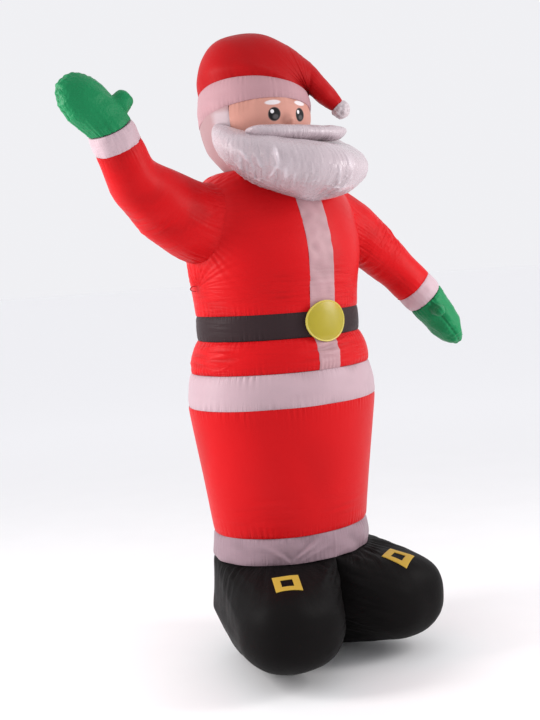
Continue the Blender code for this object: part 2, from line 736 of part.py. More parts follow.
def build_hat(z, red, white):
    """The crown fans round its fold; the tail runs on from the last fan, to the pompon."""
    base = z["crown"] + SEAM_GAP / 2
    first = head_sector(
        z, base, base, HAT_TILT, HAT_TILT, HAT_TURN, HAT_TURN + 2 * math.pi, HEAD_SIDES, 1, 0.0, False)[0]
    rings = [first]
    slope = hat_spot(z, 0.0, 0.0, 1.0) - hat_spot(z, 0.0, 0.0)
    slope = HAT_TILT.x * slope.x + HAT_TILT.y * slope.y
    count = len(CROWN_OUTLINE)
    for k, ((out, up), depth) in enumerate(zip(CROWN_OUTLINE, CROWN_HALF_DEPTHS)):
        near = [mix(a, b, k / (count - 1)) for a, b in zip(*CROWN_FOLD)]
        ring = []
        for i in range(HEAD_SIDES):
            turn = 2 * math.pi * i / HEAD_SIDES
            aside = depth * math.sin(turn)
            share = (1 + math.cos(turn)) / 2
            lean = slope * (1 - (k + 1) / (count + 1)) * aside
            ring.append(hat_spot(z, mix(out, near[0], share), mix(up, near[1], share) + lean, aside))
        rings.append(ring)
    loft("hat_crown", rings, red)

    seam = rings[-1]
    middle = sum(seam, Vector()) / len(seam)
    end = hat_spot(z, *TAIL_END)
    way = (end - middle).normalized()
    tail = []
    for k in range(6):
        t = k / 5
        centre = middle.lerp(end, t)
        ring = []
        for point in seam[::2]:
            out = point - middle
            spot = point.lerp(end + (out - way * out.dot(way)).normalized() * TAIL_END_RADIUS, t)
            ring.append(spot + (spot - centre).normalized() * TAIL_SWELL * 4 * t * (1 - t))
        tail.append(ring)
    tail[0] = [point + way * SEAM_GAP for point in tail[0]]
    loft("hat_tail", tail, red)

    sunk = TAIL_END_RADIUS / POMPON_RADIUS
    ball = end + way * (POMPON_RADIUS * math.sqrt(1 - sunk ** 2) + SEAM_GAP)
    side = way.cross(Vector((0, 1, 0))).normalized()
    lift = side.cross(way)
    rings = []
    for k in range(7):
        angle = mix(-math.acos(sunk), math.pi / 2, k / 7)
        rings.append([
            ball + way * POMPON_RADIUS * math.sin(angle)
            + (side * math.cos(2 * math.pi * i / 18) + lift * math.sin(2 * math.pi * i / 18)) * POMPON_RADIUS * math.cos(angle)
            for i in range(18)
        ])
    rings.append([ball + way * POMPON_RADIUS])
    loft("hat_pompon", rings, white)


def beard_rings(neck):
    """The roll of the beard, from one sideburn round under the chin to the other."""
    rings = []
    for k in range(BEARD_ROWS + 1):
        share = 2 * k / BEARD_ROWS - 1
        angle = BEARD_HALF_ANGLE * share
        toward = abs(share)
        reach = mix(BEARD_FRONT_REACH, BEARD_END_REACH, toward ** 1.5)
        z = BEARD_FRONT_Z + BEARD_END_RISE * toward ** 2.2 - BEARD_LEAN * math.sin(math.pi * share)
        half_depth = mix(BEARD_HALF_DEPTH, BEARD_END_HALF_DEPTH, toward ** 1.6)
        half_height = mix(BEARD_HALF_HEIGHT, BEARD_END_HALF_HEIGHT, toward ** 2)
        out = Vector((math.sin(angle), -math.cos(angle), 0.0))
        centre = Vector((0.0, HEAD_Y, z)) + out * reach
        if k in (0, BEARD_ROWS):
            rings.append([centre])
            continue
        round_off = math.sqrt(1 - toward ** 8)
        rings.append([
            centre + out * half_depth * round_off * math.cos(2 * math.pi * i / BEARD_SIDES)
            + Vector((0.0, 0.0, half_height * round_off * math.sin(2 * math.pi * i / BEARD_SIDES)))
            for i in range(BEARD_SIDES)
        ])
    return rings


def moustache_rings(grow=0.0):
    rings = []
    for k in range(MOUSTACHE_ROWS + 1):
        share = 2 * k / MOUSTACHE_ROWS - 1
        share = math.sin(share * math.pi / 2)
        centre = Vector((MOUSTACHE_HALF_LENGTH * share, MOUSTACHE_Y + MOUSTACHE_BEND * share ** 2, MOUSTACHE_Z))
        taper = math.sqrt(max(0.0, 1 - abs(share) ** 5))
        if k in (0, MOUSTACHE_ROWS):
            rings.append([centre])
            continue
        rings.append([
            centre + Vector((
                0.0,
                (MOUSTACHE_HALF_DEPTH * taper + grow) * math.cos(2 * math.pi * i / MOUSTACHE_SIDES),
                (MOUSTACHE_HALF_HEIGHT * taper + grow) * math.sin(2 * math.pi * i / MOUSTACHE_SIDES),
            ))
            for i in range(MOUSTACHE_SIDES)
        ])
    return rings


def build_beard(z, chest_cutter, white):
    neck = z["head"]
    front, back = head_slices(z, neck + SEAM_GAP / 2, CUT_GAP)
    rings = [face[:-1] + hair[:-1] for face, hair in zip(front, back)]
    foot = [point - Vector((0.0, 0.0, SUNK)) for point in rings[0]]
    head_cutter = loft("head_cutter", [foot] + rings, white)
    beard = loft("beard", beard_rings(neck), white)
    moustache = loft("moustache", moustache_rings(), white)
    combine(moustache, head_cutter, "DIFFERENCE")
    combine(beard, head_cutter, "DIFFERENCE")
    combine(beard, chest_cutter, "DIFFERENCE")
    combine(beard, loft("moustache_cutter", moustache_rings(CUT_GAP), white), "DIFFERENCE")


def centre_on_floor():
    """Slide every mesh so that the origin is under the middle of the whole figure's box."""
    objects = [item for item in bpy.data.objects if item.type == "MESH"]
    spots = [vert.co for item in objects if not item.hide_render for vert in item.data.vertices]
    middle = Vector([(min(spot[k] for spot in spots) + max(spot[k] for spot in spots)) / 2 for k in (0, 1)] + [0.0])
    for item in objects:
        for vert in item.data.vertices:
            vert.co -= middle


def build_all():
    clear_scene()
    z = levels()
    red = cloth_material("red_nylon", RED)
    white = cloth_material("white_nylon", WHITE)
    black = cloth_material("black_nylon", BLACK)
    green = cloth_material("green_nylon", GREEN)
    skin = cloth_material("skin_nylon", SKIN)
    gold = cloth_material("gold_nylon", GOLD)
    yellow = cloth_material("clear_yellow", YELLOW, 0.3, 0.75)

    build_boots(black, gold)
    build_body(z, red, white, black)
    oval_buckle(z, yellow)
    cutter = loft("chest_cutter", [
        grooved_oval(mix_seams(s, s, 0, 2 * CUT_GAP + SEAM_GAP), h, UPPER_PLACKET_WIDTH + 2 * SEAM_GAP, SEAM_GAP)
        for s, h in chest_rows(z["chest"])], red)
    build_tie_loops(cutter, red)
    build_arm("right", RIGHT_ARM, RIGHT_SHOULDER_RADIUS, RIGHT_WRIST, RIGHT_WRIST_WAY, RIGHT_HAND_WAY, RIGHT_THUMB_WAY, cutter, red, white, green)
    build_arm("left", LEFT_ARM, LEFT_SHOULDER_RADIUS, LEFT_WRIST, LEFT_WRIST_WAY, LEFT_HAND_WAY, LEFT_THUMB_WAY, cutter, red, white, green)
    build_head(z, red, white, skin)
    build_beard(z, cutter, white)
    centre_on_floor()


build_all()
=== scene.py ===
"""A fan-blown garden Santa of sewn nylon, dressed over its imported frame.

Every sewn section is a surface worked out with numpy: ovals stacked up the robe, tubes along
the arms, a wrap of the boots, a fanned hat and a rolled beard, each with the pull of its seams,
the gathers beside them and the wrinkles of thin cloth held out by air.
"""

import math

import bmesh
import bpy
import numpy as np
from bpy.props import FloatProperty, FloatVectorProperty, IntProperty, PointerProperty
from mathutils import Matrix, Vector


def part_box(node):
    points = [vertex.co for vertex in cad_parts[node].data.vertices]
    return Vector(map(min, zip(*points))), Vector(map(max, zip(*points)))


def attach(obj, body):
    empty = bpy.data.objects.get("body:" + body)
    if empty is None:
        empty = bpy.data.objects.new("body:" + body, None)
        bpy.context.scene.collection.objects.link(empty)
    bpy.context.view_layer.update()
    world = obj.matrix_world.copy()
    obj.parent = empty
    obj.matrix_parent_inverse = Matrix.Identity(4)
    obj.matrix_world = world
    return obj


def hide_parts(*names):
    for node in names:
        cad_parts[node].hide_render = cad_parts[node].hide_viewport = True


bl_info = {
    "name": "Inflatable Santa",
    "version": (1, 0, 0),
    "blender": (4, 5, 0),
    "location": "3D View > Sidebar > Santa",
    "description": "Builds a blown-up garden Santa of sewn nylon over its packed frame",
    "category": "Add Mesh",
}

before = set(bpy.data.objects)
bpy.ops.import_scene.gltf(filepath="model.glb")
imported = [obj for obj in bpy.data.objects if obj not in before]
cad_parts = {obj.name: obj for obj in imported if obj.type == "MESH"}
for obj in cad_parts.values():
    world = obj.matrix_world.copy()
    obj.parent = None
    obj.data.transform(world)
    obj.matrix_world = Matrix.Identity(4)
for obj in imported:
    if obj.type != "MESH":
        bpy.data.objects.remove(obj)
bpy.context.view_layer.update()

# The robe's upright axis, and the heights of the seams from the ground to the hat.
AXIS = np.array([(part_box("robe_skirt")[0][k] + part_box("robe_skirt")[1][k]) / 2 for k in (0, 1)] + [0.0])
ANKLE_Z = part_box("right_boot")[1][2]
HEM_TOP_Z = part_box("robe_skirt")[0][2]
SKIRT_TOP_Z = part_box("coat_band")[0][2]
COAT_BAND_TOP_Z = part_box("coat_waist")[0][2]
BELT_FOOT_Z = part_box("belt")[0][2]
BELT_TOP_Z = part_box("coat_chest")[0][2]
COLLAR_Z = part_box("coat_chest")[1][2]
BAND_Z = COLLAR_Z + 0.206
CROWN_Z = BAND_Z + 0.088

# Seams round the body: half width, half depth, and how far back the middle lies.
ANKLE = (0.322, 0.267, 0.0)
SKIRT_FOOT = (0.313, 0.262, 0.0)
SKIRT_TOP = (0.387, 0.321, 0.0)
COAT_FOOT = (0.366, 0.308, 0.0)
BELT = (0.330, 0.286, 0.0)
CHEST_TOP = (0.359, 0.304, 0.0)
COLLAR = (0.160, 0.150, 0.032)
CHEST_HEIGHT, SHOULDER_HEIGHT, BREAST_HEIGHT, CHEST_SWELL = 0.305, 0.240, 0.125, 0.006

# Arms: joints of each path, the wrist, and where the wrist and the hand point.
ARMS = {
    "right": {
        "joints": ((-0.20, 0.00, 1.640), (-0.355, 0.00, 1.682), (-0.508, -0.02, 1.757), (-0.628, -0.05, 1.837)),
        "wrist": (-0.743, -0.100, 2.012), "wrist_way": (-0.48, -0.15, 0.865), "shoulder": 0.152,
        "hand_way": (-0.66, 0.00, 0.75), "thumb_way": (0.713, 0.00, 0.694)},
    "left": {
        "joints": ((0.20, 0.00, 1.735), (0.370, -0.01, 1.635), (0.455, -0.03, 1.571), (0.543, -0.05, 1.488)),
        "wrist": (0.702, -0.100, 1.319), "wrist_way": (0.63, -0.23, -0.743), "shoulder": 0.124,
        "hand_way": (0.459, -0.328, -0.826), "thumb_way": (-0.40, -0.90, -0.20)},
}
CUFF_LENGTH, SLEEVE_END, CUFF_END = 0.074, 0.085, 0.082

HEAD_Y, HEAD_RADIUS, NECK_RADIUS, HEAD_BELOW, HEAD_ABOVE = 0.068, 0.223, 0.150, 0.245, 0.290
FACE_HALF_ANGLE = math.radians(62)
LEVEL, BAND_FOOT_TILT, HAT_TILT = (0.0, 0.0), (-0.072, -0.270), (-0.219, -0.205)
HAT_TURN = math.radians(53.5)

UP = np.array([0.0, 0.0, 1.0])
WEAVE = 0.0016  # one pair of threads
DEEP_FOLD = 0.004  # relief that counts as one whole fold for the material's painted shade in hollows and painted highlight on ridges
STITCH_REACH = 0.009  # how far a seam's stitching pulls the cloth in
BUCKLE_Z, BUCKLE_HALF_WIDTH, BUCKLE_HALF_HEIGHT = (BELT_FOOT_Z + BELT_TOP_Z) / 2 + 0.008, 0.092, 0.077


class FigureSizes(bpy.types.PropertyGroup):
    """Sizes of the cloth's own relief, in metres."""
    seam_depth: FloatProperty(
        name="Seam depth", description="How far the stitching pulls the cloth in between two sections",
        default=0.0026, min=0.0, max=0.02, unit="LENGTH")
    gather_height: FloatProperty(
        name="Gather height", description="Height of the small folds beside each seam",
        default=0.0009, min=0.0, max=0.01, unit="LENGTH")
    wrinkle_height: FloatProperty(
        name="Wrinkle height", description="Height of the long slack wrinkles round the waist",
        default=0.0011, min=0.0, max=0.01, unit="LENGTH")
    body_columns: IntProperty(
        name="Body columns", description="Points round each section of the robe", default=480, min=48, max=800)
    eye_spread: FloatProperty(
        name="Eye spread", description="Distance between the middles of the printed eyes",
        default=0.121, min=0.05, max=0.2, unit="LENGTH")
    eye_height: FloatProperty(
        name="Eye height", description="Height of the printed eyes from the ground",
        default=2.072, min=1.9, max=2.2, unit="LENGTH")


class ClothColours(bpy.types.PropertyGroup):
    """Colours of the cloths, as the maker would order them, but for the white's pink tint, which is painted red light
    from inside the figure.
    """
    red: FloatVectorProperty(
        name="Red", description="Robe, coat, sleeves and hat", subtype="COLOR", size=3, min=0, max=1,
        default=(0.575, 0.0048, 0.0075))
    # The white's pink tint is painted red light, glowing through the thin cloth from the red panels inside the
    # figure.
    white: FloatVectorProperty(
        name="White", description="Bands, cuffs, plackets, hair and beard", subtype="COLOR", size=3, min=0, max=1,
        default=(0.490, 0.345, 0.383))
    black: FloatVectorProperty(
        name="Black", description="Boots and belt", subtype="COLOR", size=3, min=0, max=1,
        default=(0.0060, 0.0052, 0.0052))
    green: FloatVectorProperty(
        name="Green", description="Mittens", subtype="COLOR", size=3, min=0, max=1, default=(0.008, 0.215, 0.076))
    skin: FloatVectorProperty(
        name="Skin", description="Face panel", subtype="COLOR", size=3, min=0, max=1, default=(0.60, 0.292, 0.235))
    gold: FloatVectorProperty(
        name="Gold", description="Boot buckles", subtype="COLOR", size=3, min=0, max=1, default=(0.47, 0.31, 0.042))
    yellow: FloatVectorProperty(
        name="Clear yellow", description="See-through belt buckle", subtype="COLOR", size=3, min=0, max=1,
        default=(0.55, 0.45, 0.024))


def mix(a, b, t):
    """The value a share t of the way from a to b."""
    return a + (b - a) * t


def ease(t):
    """Smooth step: 3t^2 - 2t^3, held at 0 and 1 outside."""
    t = np.clip(t, 0.0, 1.0)
    return t * t * (3 - 2 * t)


def bell(distance, width):
    """A soft bump: exp(-(distance/width)^2)."""
    return np.exp(-(distance / width) ** 2)


def rounded(share, power):
    """A blunt round end: sqrt(1 - share^power), from 1 at share 0 to 0 at share 1."""
    return np.sqrt(np.clip(1 - share ** power, 0, 1))


def beside(away, reach, start=None):
    """Strength of folds that run out of a seam at distance d: exp(-d/reach), times
    1 - exp(-d/start) where the stitching itself stays flat."""
    strength = np.exp(-away / reach)
    return strength if start is None else strength * (1 - np.exp(-away / start))


def unit(way):
    """A vector, or each vector of an array, divided by its length."""
    way = np.asarray(way, float)
    return way / np.maximum(np.linalg.norm(way, axis=-1, keepdims=True), 1e-12)


def round_turns(count):
    """Even angles round a circle, from 0: 2 pi k / count."""
    return np.arange(count) * (2 * np.pi / count)


def close_ends(rows):
    """Shares from 0 to 1 that crowd towards both ends: half even, half (1 - cos)/2."""
    s = np.linspace(0, 1, rows)
    return 0.5 * s + 0.25 * (1 - np.cos(np.pi * s))


def gathers(turn, fewest, most, seed, terms=10):
    """Irregular folds round a closed seam: a sum of sines with whole numbers of waves."""
    rng = np.random.default_rng(seed)
    waves = rng.integers(fewest, most + 1, terms)
    phase = rng.uniform(0, 2 * np.pi, terms)
    return np.sin(np.multiply.outer(turn, waves) + phase).sum(-1) / math.sqrt(terms / 2)


def ripples(points, size, seed, terms=14):
    """Soft random relief: sines along random ways, with wavelengths near size on each axis."""
    rng = np.random.default_rng(seed)
    ways = unit(rng.normal(size=(terms, 3))) * (2 * np.pi * rng.uniform(0.7, 1.4, terms))[:, None]
    phase = rng.uniform(0, 2 * np.pi, terms)
    return np.sin((points / np.asarray(size)) @ ways.T + phase).sum(-1) / math.sqrt(terms / 2)


def sharp_folds(points, size, seed):
    """Ridges where soft relief crosses zero: (1 - |relief|) cubed."""
    return np.clip(1 - np.abs(ripples(points, size, seed)), 0, 1) ** 3


def creases(points, lines):
    """Straight folds: each line adds height * exp(-(distance/width)^2), fading to its two ends."""
    total = np.zeros(points.shape[:-1])
    for start, end, width, height in lines:
        a, b = np.asarray(start), np.asarray(end)
        t = np.clip((points - a) @ (b - a) / ((b - a) @ (b - a)), 0, 1)
        away = np.linalg.norm(points - (a + t[..., None] * (b - a)), axis=-1)
        total += height * np.exp(-(away / width) ** 2) * np.sin(np.pi * np.clip(t, 0.02, 0.98)) ** 0.7
    return total


def outward(points):
    """Unit normals of a closed grid: the cross product of its two tangents, turned away from
    each ring's middle."""
    across = np.roll(points, -1, 1) - np.roll(points, 1, 1)
    along = np.gradient(points, axis=0)
    normal = unit(np.cross(across, along))
    middle = points.mean(1, keepdims=True)
    return normal * (1.0 if (normal * (points - middle)).sum() > 0 else -1.0)


def push(points, amount):
    """Moves a grid along its own normals."""
    return points + outward(points) * amount[..., None]


def smooth(stations, count):
    """A Catmull-Rom curve through stations at even steps, each end carried on straight."""
    stations = np.concatenate([[2 * stations[0] - stations[1]], stations, [2 * stations[-1] - stations[-2]]])
    u = np.linspace(0, len(stations) - 3, count)
    i = np.minimum(u.astype(int), len(stations) - 4)
    t = (u - i).reshape(-1, *[1] * (stations.ndim - 1))
    a, b, c, d = (stations[i + k] for k in range(4))
    return 0.5 * (2 * b + (c - a) * t + (2 * a - 5 * b + 4 * c - d) * t ** 2 + (3 * b - a - 3 * c + d) * t ** 3)


def lengths(points):
    """Metres run round and along a grid, for a cloth map: mean spacing round, mean spacing along."""
    round_step = np.linalg.norm(np.roll(points, -1, 1) - points, axis=-1).mean()
    along = np.linalg.norm(np.diff(points, axis=0), axis=-1).mean(1)
    return round_step, np.concatenate([[0.0], np.cumsum(along)])


MARKS = ("fold", "gather", "slack")


def mesh_of(name, grids, **marks):
    """One closed mesh from grids of rings. Rings wrap, and each end ring is closed to its own
    middle. The cloth map holds metres round and metres along. Marks are lists of one array a grid:
    fold is the relief in shares of a deep one, and gather and slack are where the material adds
    fine folds along and round the piece."""
    spots, corners, sizes, maps = [], [], [], []
    tones = {mark: [] for mark in MARKS}
    start = 0
    for index, points in enumerate(grids):
        rows, columns = points.shape[:2]
        step, run = lengths(points)
        number = start + np.arange(rows * columns).reshape(rows, columns)
        spots.append(points.reshape(-1, 3))
        for mark, tone in tones.items():
            given = marks[mark][index] if mark in marks else 0.0
            tone.append((given + np.zeros((rows, columns))).reshape(-1))
        a, b = number[:-1], np.roll(number, -1, 1)[:-1]
        c, d = np.roll(number, -1, 1)[1:], number[1:]
        quads = np.stack([a, b, c, d], -1).reshape(-1, 4)
        u = np.broadcast_to(np.arange(columns) * step, (rows - 1, columns))
        v0, v1 = np.broadcast_to(run[:-1, None], u.shape), np.broadcast_to(run[1:, None], u.shape)
        quad_map = np.stack([np.stack(p, -1) for p in ((u, v0), (u + step, v0), (u + step, v1), (u, v1))], -2)
        corners.append(quads.reshape(-1))
        sizes.append(np.full(len(quads), 4))
        maps.append(quad_map.reshape(-1, 2))
        start += rows * columns
        for row, forwards in ((0, False), (rows - 1, True)):
            spots.append(points[row].mean(0)[None])
            for tone in tones.values():
                tone.append(np.zeros(1))
            near, far, middle = number[row], np.roll(number[row], -1), np.full(columns, start)
            fan = np.stack([near, far, middle] if forwards else [far, near, middle], -1)
            fan_map = np.stack([np.stack([np.arange(columns) * step, np.full(columns, run[row])], -1)] * 3, -2)
            corners.append(fan.reshape(-1))
            sizes.append(np.full(columns, 3))
            maps.append(fan_map.reshape(-1, 2))
            start += 1
    spots = np.concatenate(spots) + AXIS
    corners, sizes, maps = np.concatenate(corners), np.concatenate(sizes), np.concatenate(maps)
    mesh = bpy.data.meshes.new(name)
    mesh.vertices.add(len(spots))
    mesh.vertices.foreach_set("co", spots.reshape(-1))
    mesh.loops.add(len(corners))
    mesh.loops.foreach_set("vertex_index", corners)
    mesh.polygons.add(len(sizes))
    mesh.polygons.foreach_set("loop_start", np.concatenate([[0], np.cumsum(sizes)[:-1]]))
    mesh.update(calc_edges=True)
    mesh.uv_layers.new(name="cloth").uv.foreach_set("vector", maps.reshape(-1))
    for mark, tone in tones.items():
        mesh.attributes.new(mark, "FLOAT", "POINT").data.foreach_set("value", np.concatenate(tone))
    mesh.validate()
    return mesh


def tidy_mesh(mesh, angle=60):
    """Merges doubles at poles, turns every face outwards and shades smooth up to an angle."""
    bm = bmesh.new()
    bm.from_mesh(mesh)
    bmesh.ops.remove_doubles(bm, verts=bm.verts, dist=1e-6)
    bmesh.ops.dissolve_degenerate(bm, edges=bm.edges, dist=1e-7)
    bmesh.ops.recalc_face_normals(bm, faces=bm.faces)
    if bm.calc_volume(signed=True) < 0:
        bmesh.ops.reverse_faces(bm, faces=bm.faces)
    bm.to_mesh(mesh)
    bm.free()
    mesh.polygons.foreach_set("use_smooth", np.ones(len(mesh.polygons), bool))
    mesh.set_sharp_from_angle(angle=math.radians(angle))
    return mesh


def finish_piece(mesh, node, material, angle=60):
    """Makes the mesh a piece that rides on the body and stands for its node."""
    tidy_mesh(mesh, angle)
    piece = bpy.data.objects.new(node + "_cloth", mesh)
    bpy.context.scene.collection.objects.link(piece)
    mesh.materials.clear()
    mesh.materials.append(material)
    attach(piece, "root")
    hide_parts(node)
    return piece


def sew(node, points, relief, cloth, slot, deep=DEEP_FOLD, **marks):
    """Moves a grid along its normals by its relief and hands it over as its node's piece. The
    fold mark is the relief in shares of a deep fold."""
    tones = {mark: [tone] for mark, tone in marks.items()}
    mesh = mesh_of(node, [push(points, relief)], fold=[relief / deep], **tones)
    return finish_piece(mesh, node, cloth)


# Shader expressions

class Sock:
    """A socket, or a number, that adds its Math nodes when it is used in an expression."""

    def __init__(self, tree, socket):
        self.tree, self.socket = tree, socket

    def math(self, operation, *values):
        """A Math node on the values."""
        return self.tree.node("ShaderNodeMath", {"operation": operation}, dict(enumerate(values)))

    def __add__(self, other):
        return self.math("ADD", self, other)

    def __radd__(self, other):
        return self.math("ADD", other, self)

    def __sub__(self, other):
        return self.math("SUBTRACT", self, other)

    def __rsub__(self, other):
        return self.math("SUBTRACT", other, self)

    def __mul__(self, other):
        return self.math("MULTIPLY", self, other)

    def __rmul__(self, other):
        return self.math("MULTIPLY", other, self)

    def __truediv__(self, other):
        return self.math("DIVIDE", self, other)

    def __pow__(self, other):
        return self.math("POWER", self, other)

    def sine(self):
        return self.math("SINE", self)

    def step(self, low, high):
        """0 below low, 1 above high, smooth between."""
        return self.tree.node(
            "ShaderNodeMapRange", {"interpolation_type": "SMOOTHSTEP"},
            {"Value": self, "From Min": low, "From Max": high})


class Finish:
    """A material's node tree, built from expressions."""

    def __init__(self, name, colour, alpha=1.0):
        self.material = bpy.data.materials.new(name)
        self.material.use_nodes = True
        self.material.diffuse_color = (*colour, alpha)
        self.nodes, self.links = self.material.node_tree.nodes, self.material.node_tree.links
        self.shader = self.nodes["Principled BSDF"]

    def node(self, kind, settings=None, inputs=None, output=0):
        """Adds a node: settings first, then values or links of its sockets; returns one output."""
        node = self.nodes.new(kind)
        for key, value in (settings or {}).items():
            setattr(node, key, value)
        for key, value in (inputs or {}).items():
            self.join(node.inputs[key], value)
        return Sock(self, node.outputs[output])

    def join(self, socket, value):
        """Links a socket to an expression, or sets it to a plain value."""
        if isinstance(value, Sock):
            self.links.new(value.socket, socket)
        else:
            socket.default_value = value

    def places(self):
        """X, Y and Z of a point of the piece, in metres."""
        spot = self.node("ShaderNodeTexCoord", output="Object")
        parts = self.nodes.new("ShaderNodeSeparateXYZ")
        self.links.new(spot.socket, parts.inputs[0])
        return spot, [Sock(self, out) for out in parts.outputs]

    def cloth_map(self):
        """Metres round and metres along the piece's own cloth."""
        parts = self.nodes.new("ShaderNodeSeparateXYZ")
        self.links.new(self.node("ShaderNodeUVMap", {"uv_map": "cloth"}).socket, parts.inputs[0])
        return Sock(self, parts.outputs[0]), Sock(self, parts.outputs[1])

    def noise(self, place, scale, detail=3.0, roughness=0.55, distortion=0.0):
        """Cloudy noise from 0 to 1, with about scale clouds a metre."""
        return self.node("ShaderNodeTexNoise", {"noise_dimensions": "3D"}, {
            "Vector": place, "Scale": scale, "Detail": detail, "Roughness": roughness, "Distortion": distortion})

    def blend_colours(self, share, a, b):
        """The colour a share of the way from a to b."""
        node = self.nodes.new("ShaderNodeMix")
        node.data_type = "RGBA"
        self.join(node.inputs["Factor"], share)
        for socket, value in ((node.inputs[6], a), (node.inputs[7], b)):
            self.join(socket, value if isinstance(value, Sock) else (*value, 1.0))
        return Sock(self, node.outputs[2])

    def mark(self, name):
        """A point attribute of the piece."""
        return self.node("ShaderNodeAttribute", {"attribute_name": name}, output="Fac")

    def vector(self, x, y, z=0.0):
        """Three expressions as one vector."""
        return self.node("ShaderNodeCombineXYZ", {}, {0: x, 1: y, 2: z})

    def set(self, **values):
        """Feeds the shader's inputs, named with _ for each space."""
        for key, value in values.items():
            self.join(self.shader.inputs[key.replace("_", " ")], value)

    def bump(self, height, strength, distance, under=None):
        """A normal tipped by a height, laid over the normal under it."""
        inputs = {"Height": height, "Strength": strength, "Distance": distance}
        if under is not None:
            inputs["Normal"] = under
        return self.node("ShaderNodeBump", {}, inputs)


def tint(colour, factor, grey=0.0):
    """A lighter or darker colour: each channel times factor, then a share towards its own mean."""
    mean = sum(colour) / 3
    return tuple(min(1.0, mix(channel * factor, mean * factor, grey)) for channel in colour)


def nylon(name, colour, roughness=0.42, crinkle=1.0, mapped=True, print_over=None,
          shadow=0.84, ridge_highlight=1.18, sheen=0.04, gloss=0.15, crimp=1.0):
    """Thin woven nylon: mottled dye, painted shade darker by shadow in its folds and a painted highlight
    lighter by the ridge factor on them, a plain weave sin(round) sin(along), small crinkles, and fine
    folds beside the seams and in slack cloth where the piece's marks put them, deeper with crimp."""
    finish = Finish(name, colour)
    spot, (x, y, z) = finish.places()
    dye = finish.noise(spot, 5.0, 4.0)
    fine = finish.noise(spot, 38.0, 3.0, 0.6, 0.6)
    fold = finish.mark("fold")
    base = finish.blend_colours(dye, tint(colour, 0.92), tint(colour, 1.07))
    # Painted shade: the colour darkens by the factor shadow where the fold mark is a hollow.
    base = finish.blend_colours((fold * -1.0).step(0.05, 1.0), base, tint(colour, shadow))
    # Painted highlight: the colour lightens by the ridge factor on the fold mark's ridges.
    base = finish.blend_colours(fold.step(0.1, 1.3) * 0.35, base, tint(colour, ridge_highlight, 0.04))
    if print_over is not None:
        base = print_over(finish, base, (x, y, z))
    if mapped:
        round_it, along = finish.cloth_map()
        weave = (round_it * (2 * math.pi / WEAVE)).sine() * (along * (2 * math.pi / WEAVE)).sine()
        down_the_seam = finish.noise(finish.vector(round_it, along * 0.09), 150.0, 2.0, 0.5)
        round_the_piece = finish.noise(finish.vector(round_it * 0.11, along), 80.0, 3.0, 0.55, 0.5)
        folds = (down_the_seam - 0.5) * finish.mark("gather") + (round_the_piece - 0.5) * finish.mark("slack")
    else:
        weave = (x * (2 * math.pi / WEAVE)).sine() * (z * (2 * math.pi / WEAVE)).sine()
        folds = (finish.noise(spot, 70.0, 2.0, 0.5, 1.0) - 0.5) * 0.5
    stretched = finish.node("ShaderNodeMapping", {}, {"Vector": spot, "Scale": (1.0, 1.0, 2.2)})
    small = finish.noise(stretched, 60.0, 2.0, 0.5, 1.2)
    normal = finish.bump(weave, 0.10, 0.0003)
    normal = finish.bump(small + fine * 0.6, 0.13 * crinkle, 0.0045, normal)
    normal = finish.bump(folds, 0.75, 0.008 * crimp, normal)
    finish.set(Base_Color=base, Roughness=fine * 0.16 + (roughness - 0.08), Normal=normal)
    finish.shader.inputs["Specular IOR Level"].default_value = gloss
    finish.shader.inputs["Sheen Weight"].default_value = sheen
    finish.shader.inputs["Sheen Roughness"].default_value = 0.45
    return finish.material


# Ovals of one printed eye, from its rim to its glint: middle across and up, radii across and up,
# where the edge starts and ends in shares of the radii, strength, colour.
EYE_OVALS = (
    (0.0, 0.0, 0.0255, 0.0270, 0.94, 1.04, 1.0, (0.16, 0.115, 0.105)),
    (0.0, 0.0, 0.0228, 0.0243, 0.94, 1.06, 1.0, (0.013, 0.012, 0.013)),
    (0.004, -0.010, 0.0135, 0.0110, 0.5, 1.15, 0.55, (0.15, 0.14, 0.145)),
    (-0.0095, 0.0100, 0.0072, 0.0078, 0.8, 1.1, 1.0, (0.84, 0.82, 0.84)),
)
BROW_COLOUR, BLUSH_COLOUR, BLUSH_Z = (0.76, 0.70, 0.71), (0.76, 0.43, 0.33), 2.046


def printed_eyes(finish, base, place):
    """Eyes, brows and a blush printed on the face panel: ovals in the panel's own X and Z."""
    sizes = bpy.context.scene.figure_sizes
    x, _, z = place
    middle = AXIS[0]
    for side in (-1, 1):
        across = x - (middle + side * sizes.eye_spread / 2)
        up = z - sizes.eye_height

        def oval(dx, dz, rx, rz, slant=0.0):
            """Distance from an oval's middle in shares of its radii."""
            a = (across - dx) / rx
            b = (up - dz - (across - dx) * slant) / rz
            return (a * a + b * b) ** 0.5

        for dx, dz, rx, rz, start, end, strength, colour in EYE_OVALS:
            base = finish.blend_colours((1.0 - oval(dx, dz, rx, rz).step(start, end)) * strength, base, colour)
        brow = 1.0 - oval(side * 0.004, 0.0445, 0.0315, 0.0095, -side * 0.05).step(0.80, 1.12)
        base = finish.blend_colours(brow, base, BROW_COLOUR)
    blush = 1.0 - ((((x - middle) / 0.034) ** 2.0 + ((z - BLUSH_Z) / 0.024) ** 2.0) ** 0.5).step(0.2, 1.0)
    return finish.blend_colours(blush * 0.22, base, BLUSH_COLOUR)


def sideburns(finish, base, place):
    """The beard's whiter cloth laid beside the face, fading back over the hair's side."""
    _, y, z = place
    edge = finish.noise(finish.vector(y, z), 14.0, 2.0)
    front = 1.0 - (y + (edge - 0.5) * 0.05).step(AXIS[1] + 0.010, AXIS[1] + 0.050)
    low = z.step(1.90, 1.97) * (1.0 - z.step(2.085, 2.110))
    return finish.blend_colours(front * low * 0.8, base, (0.53, 0.44, 0.47))


# The robe and the coat

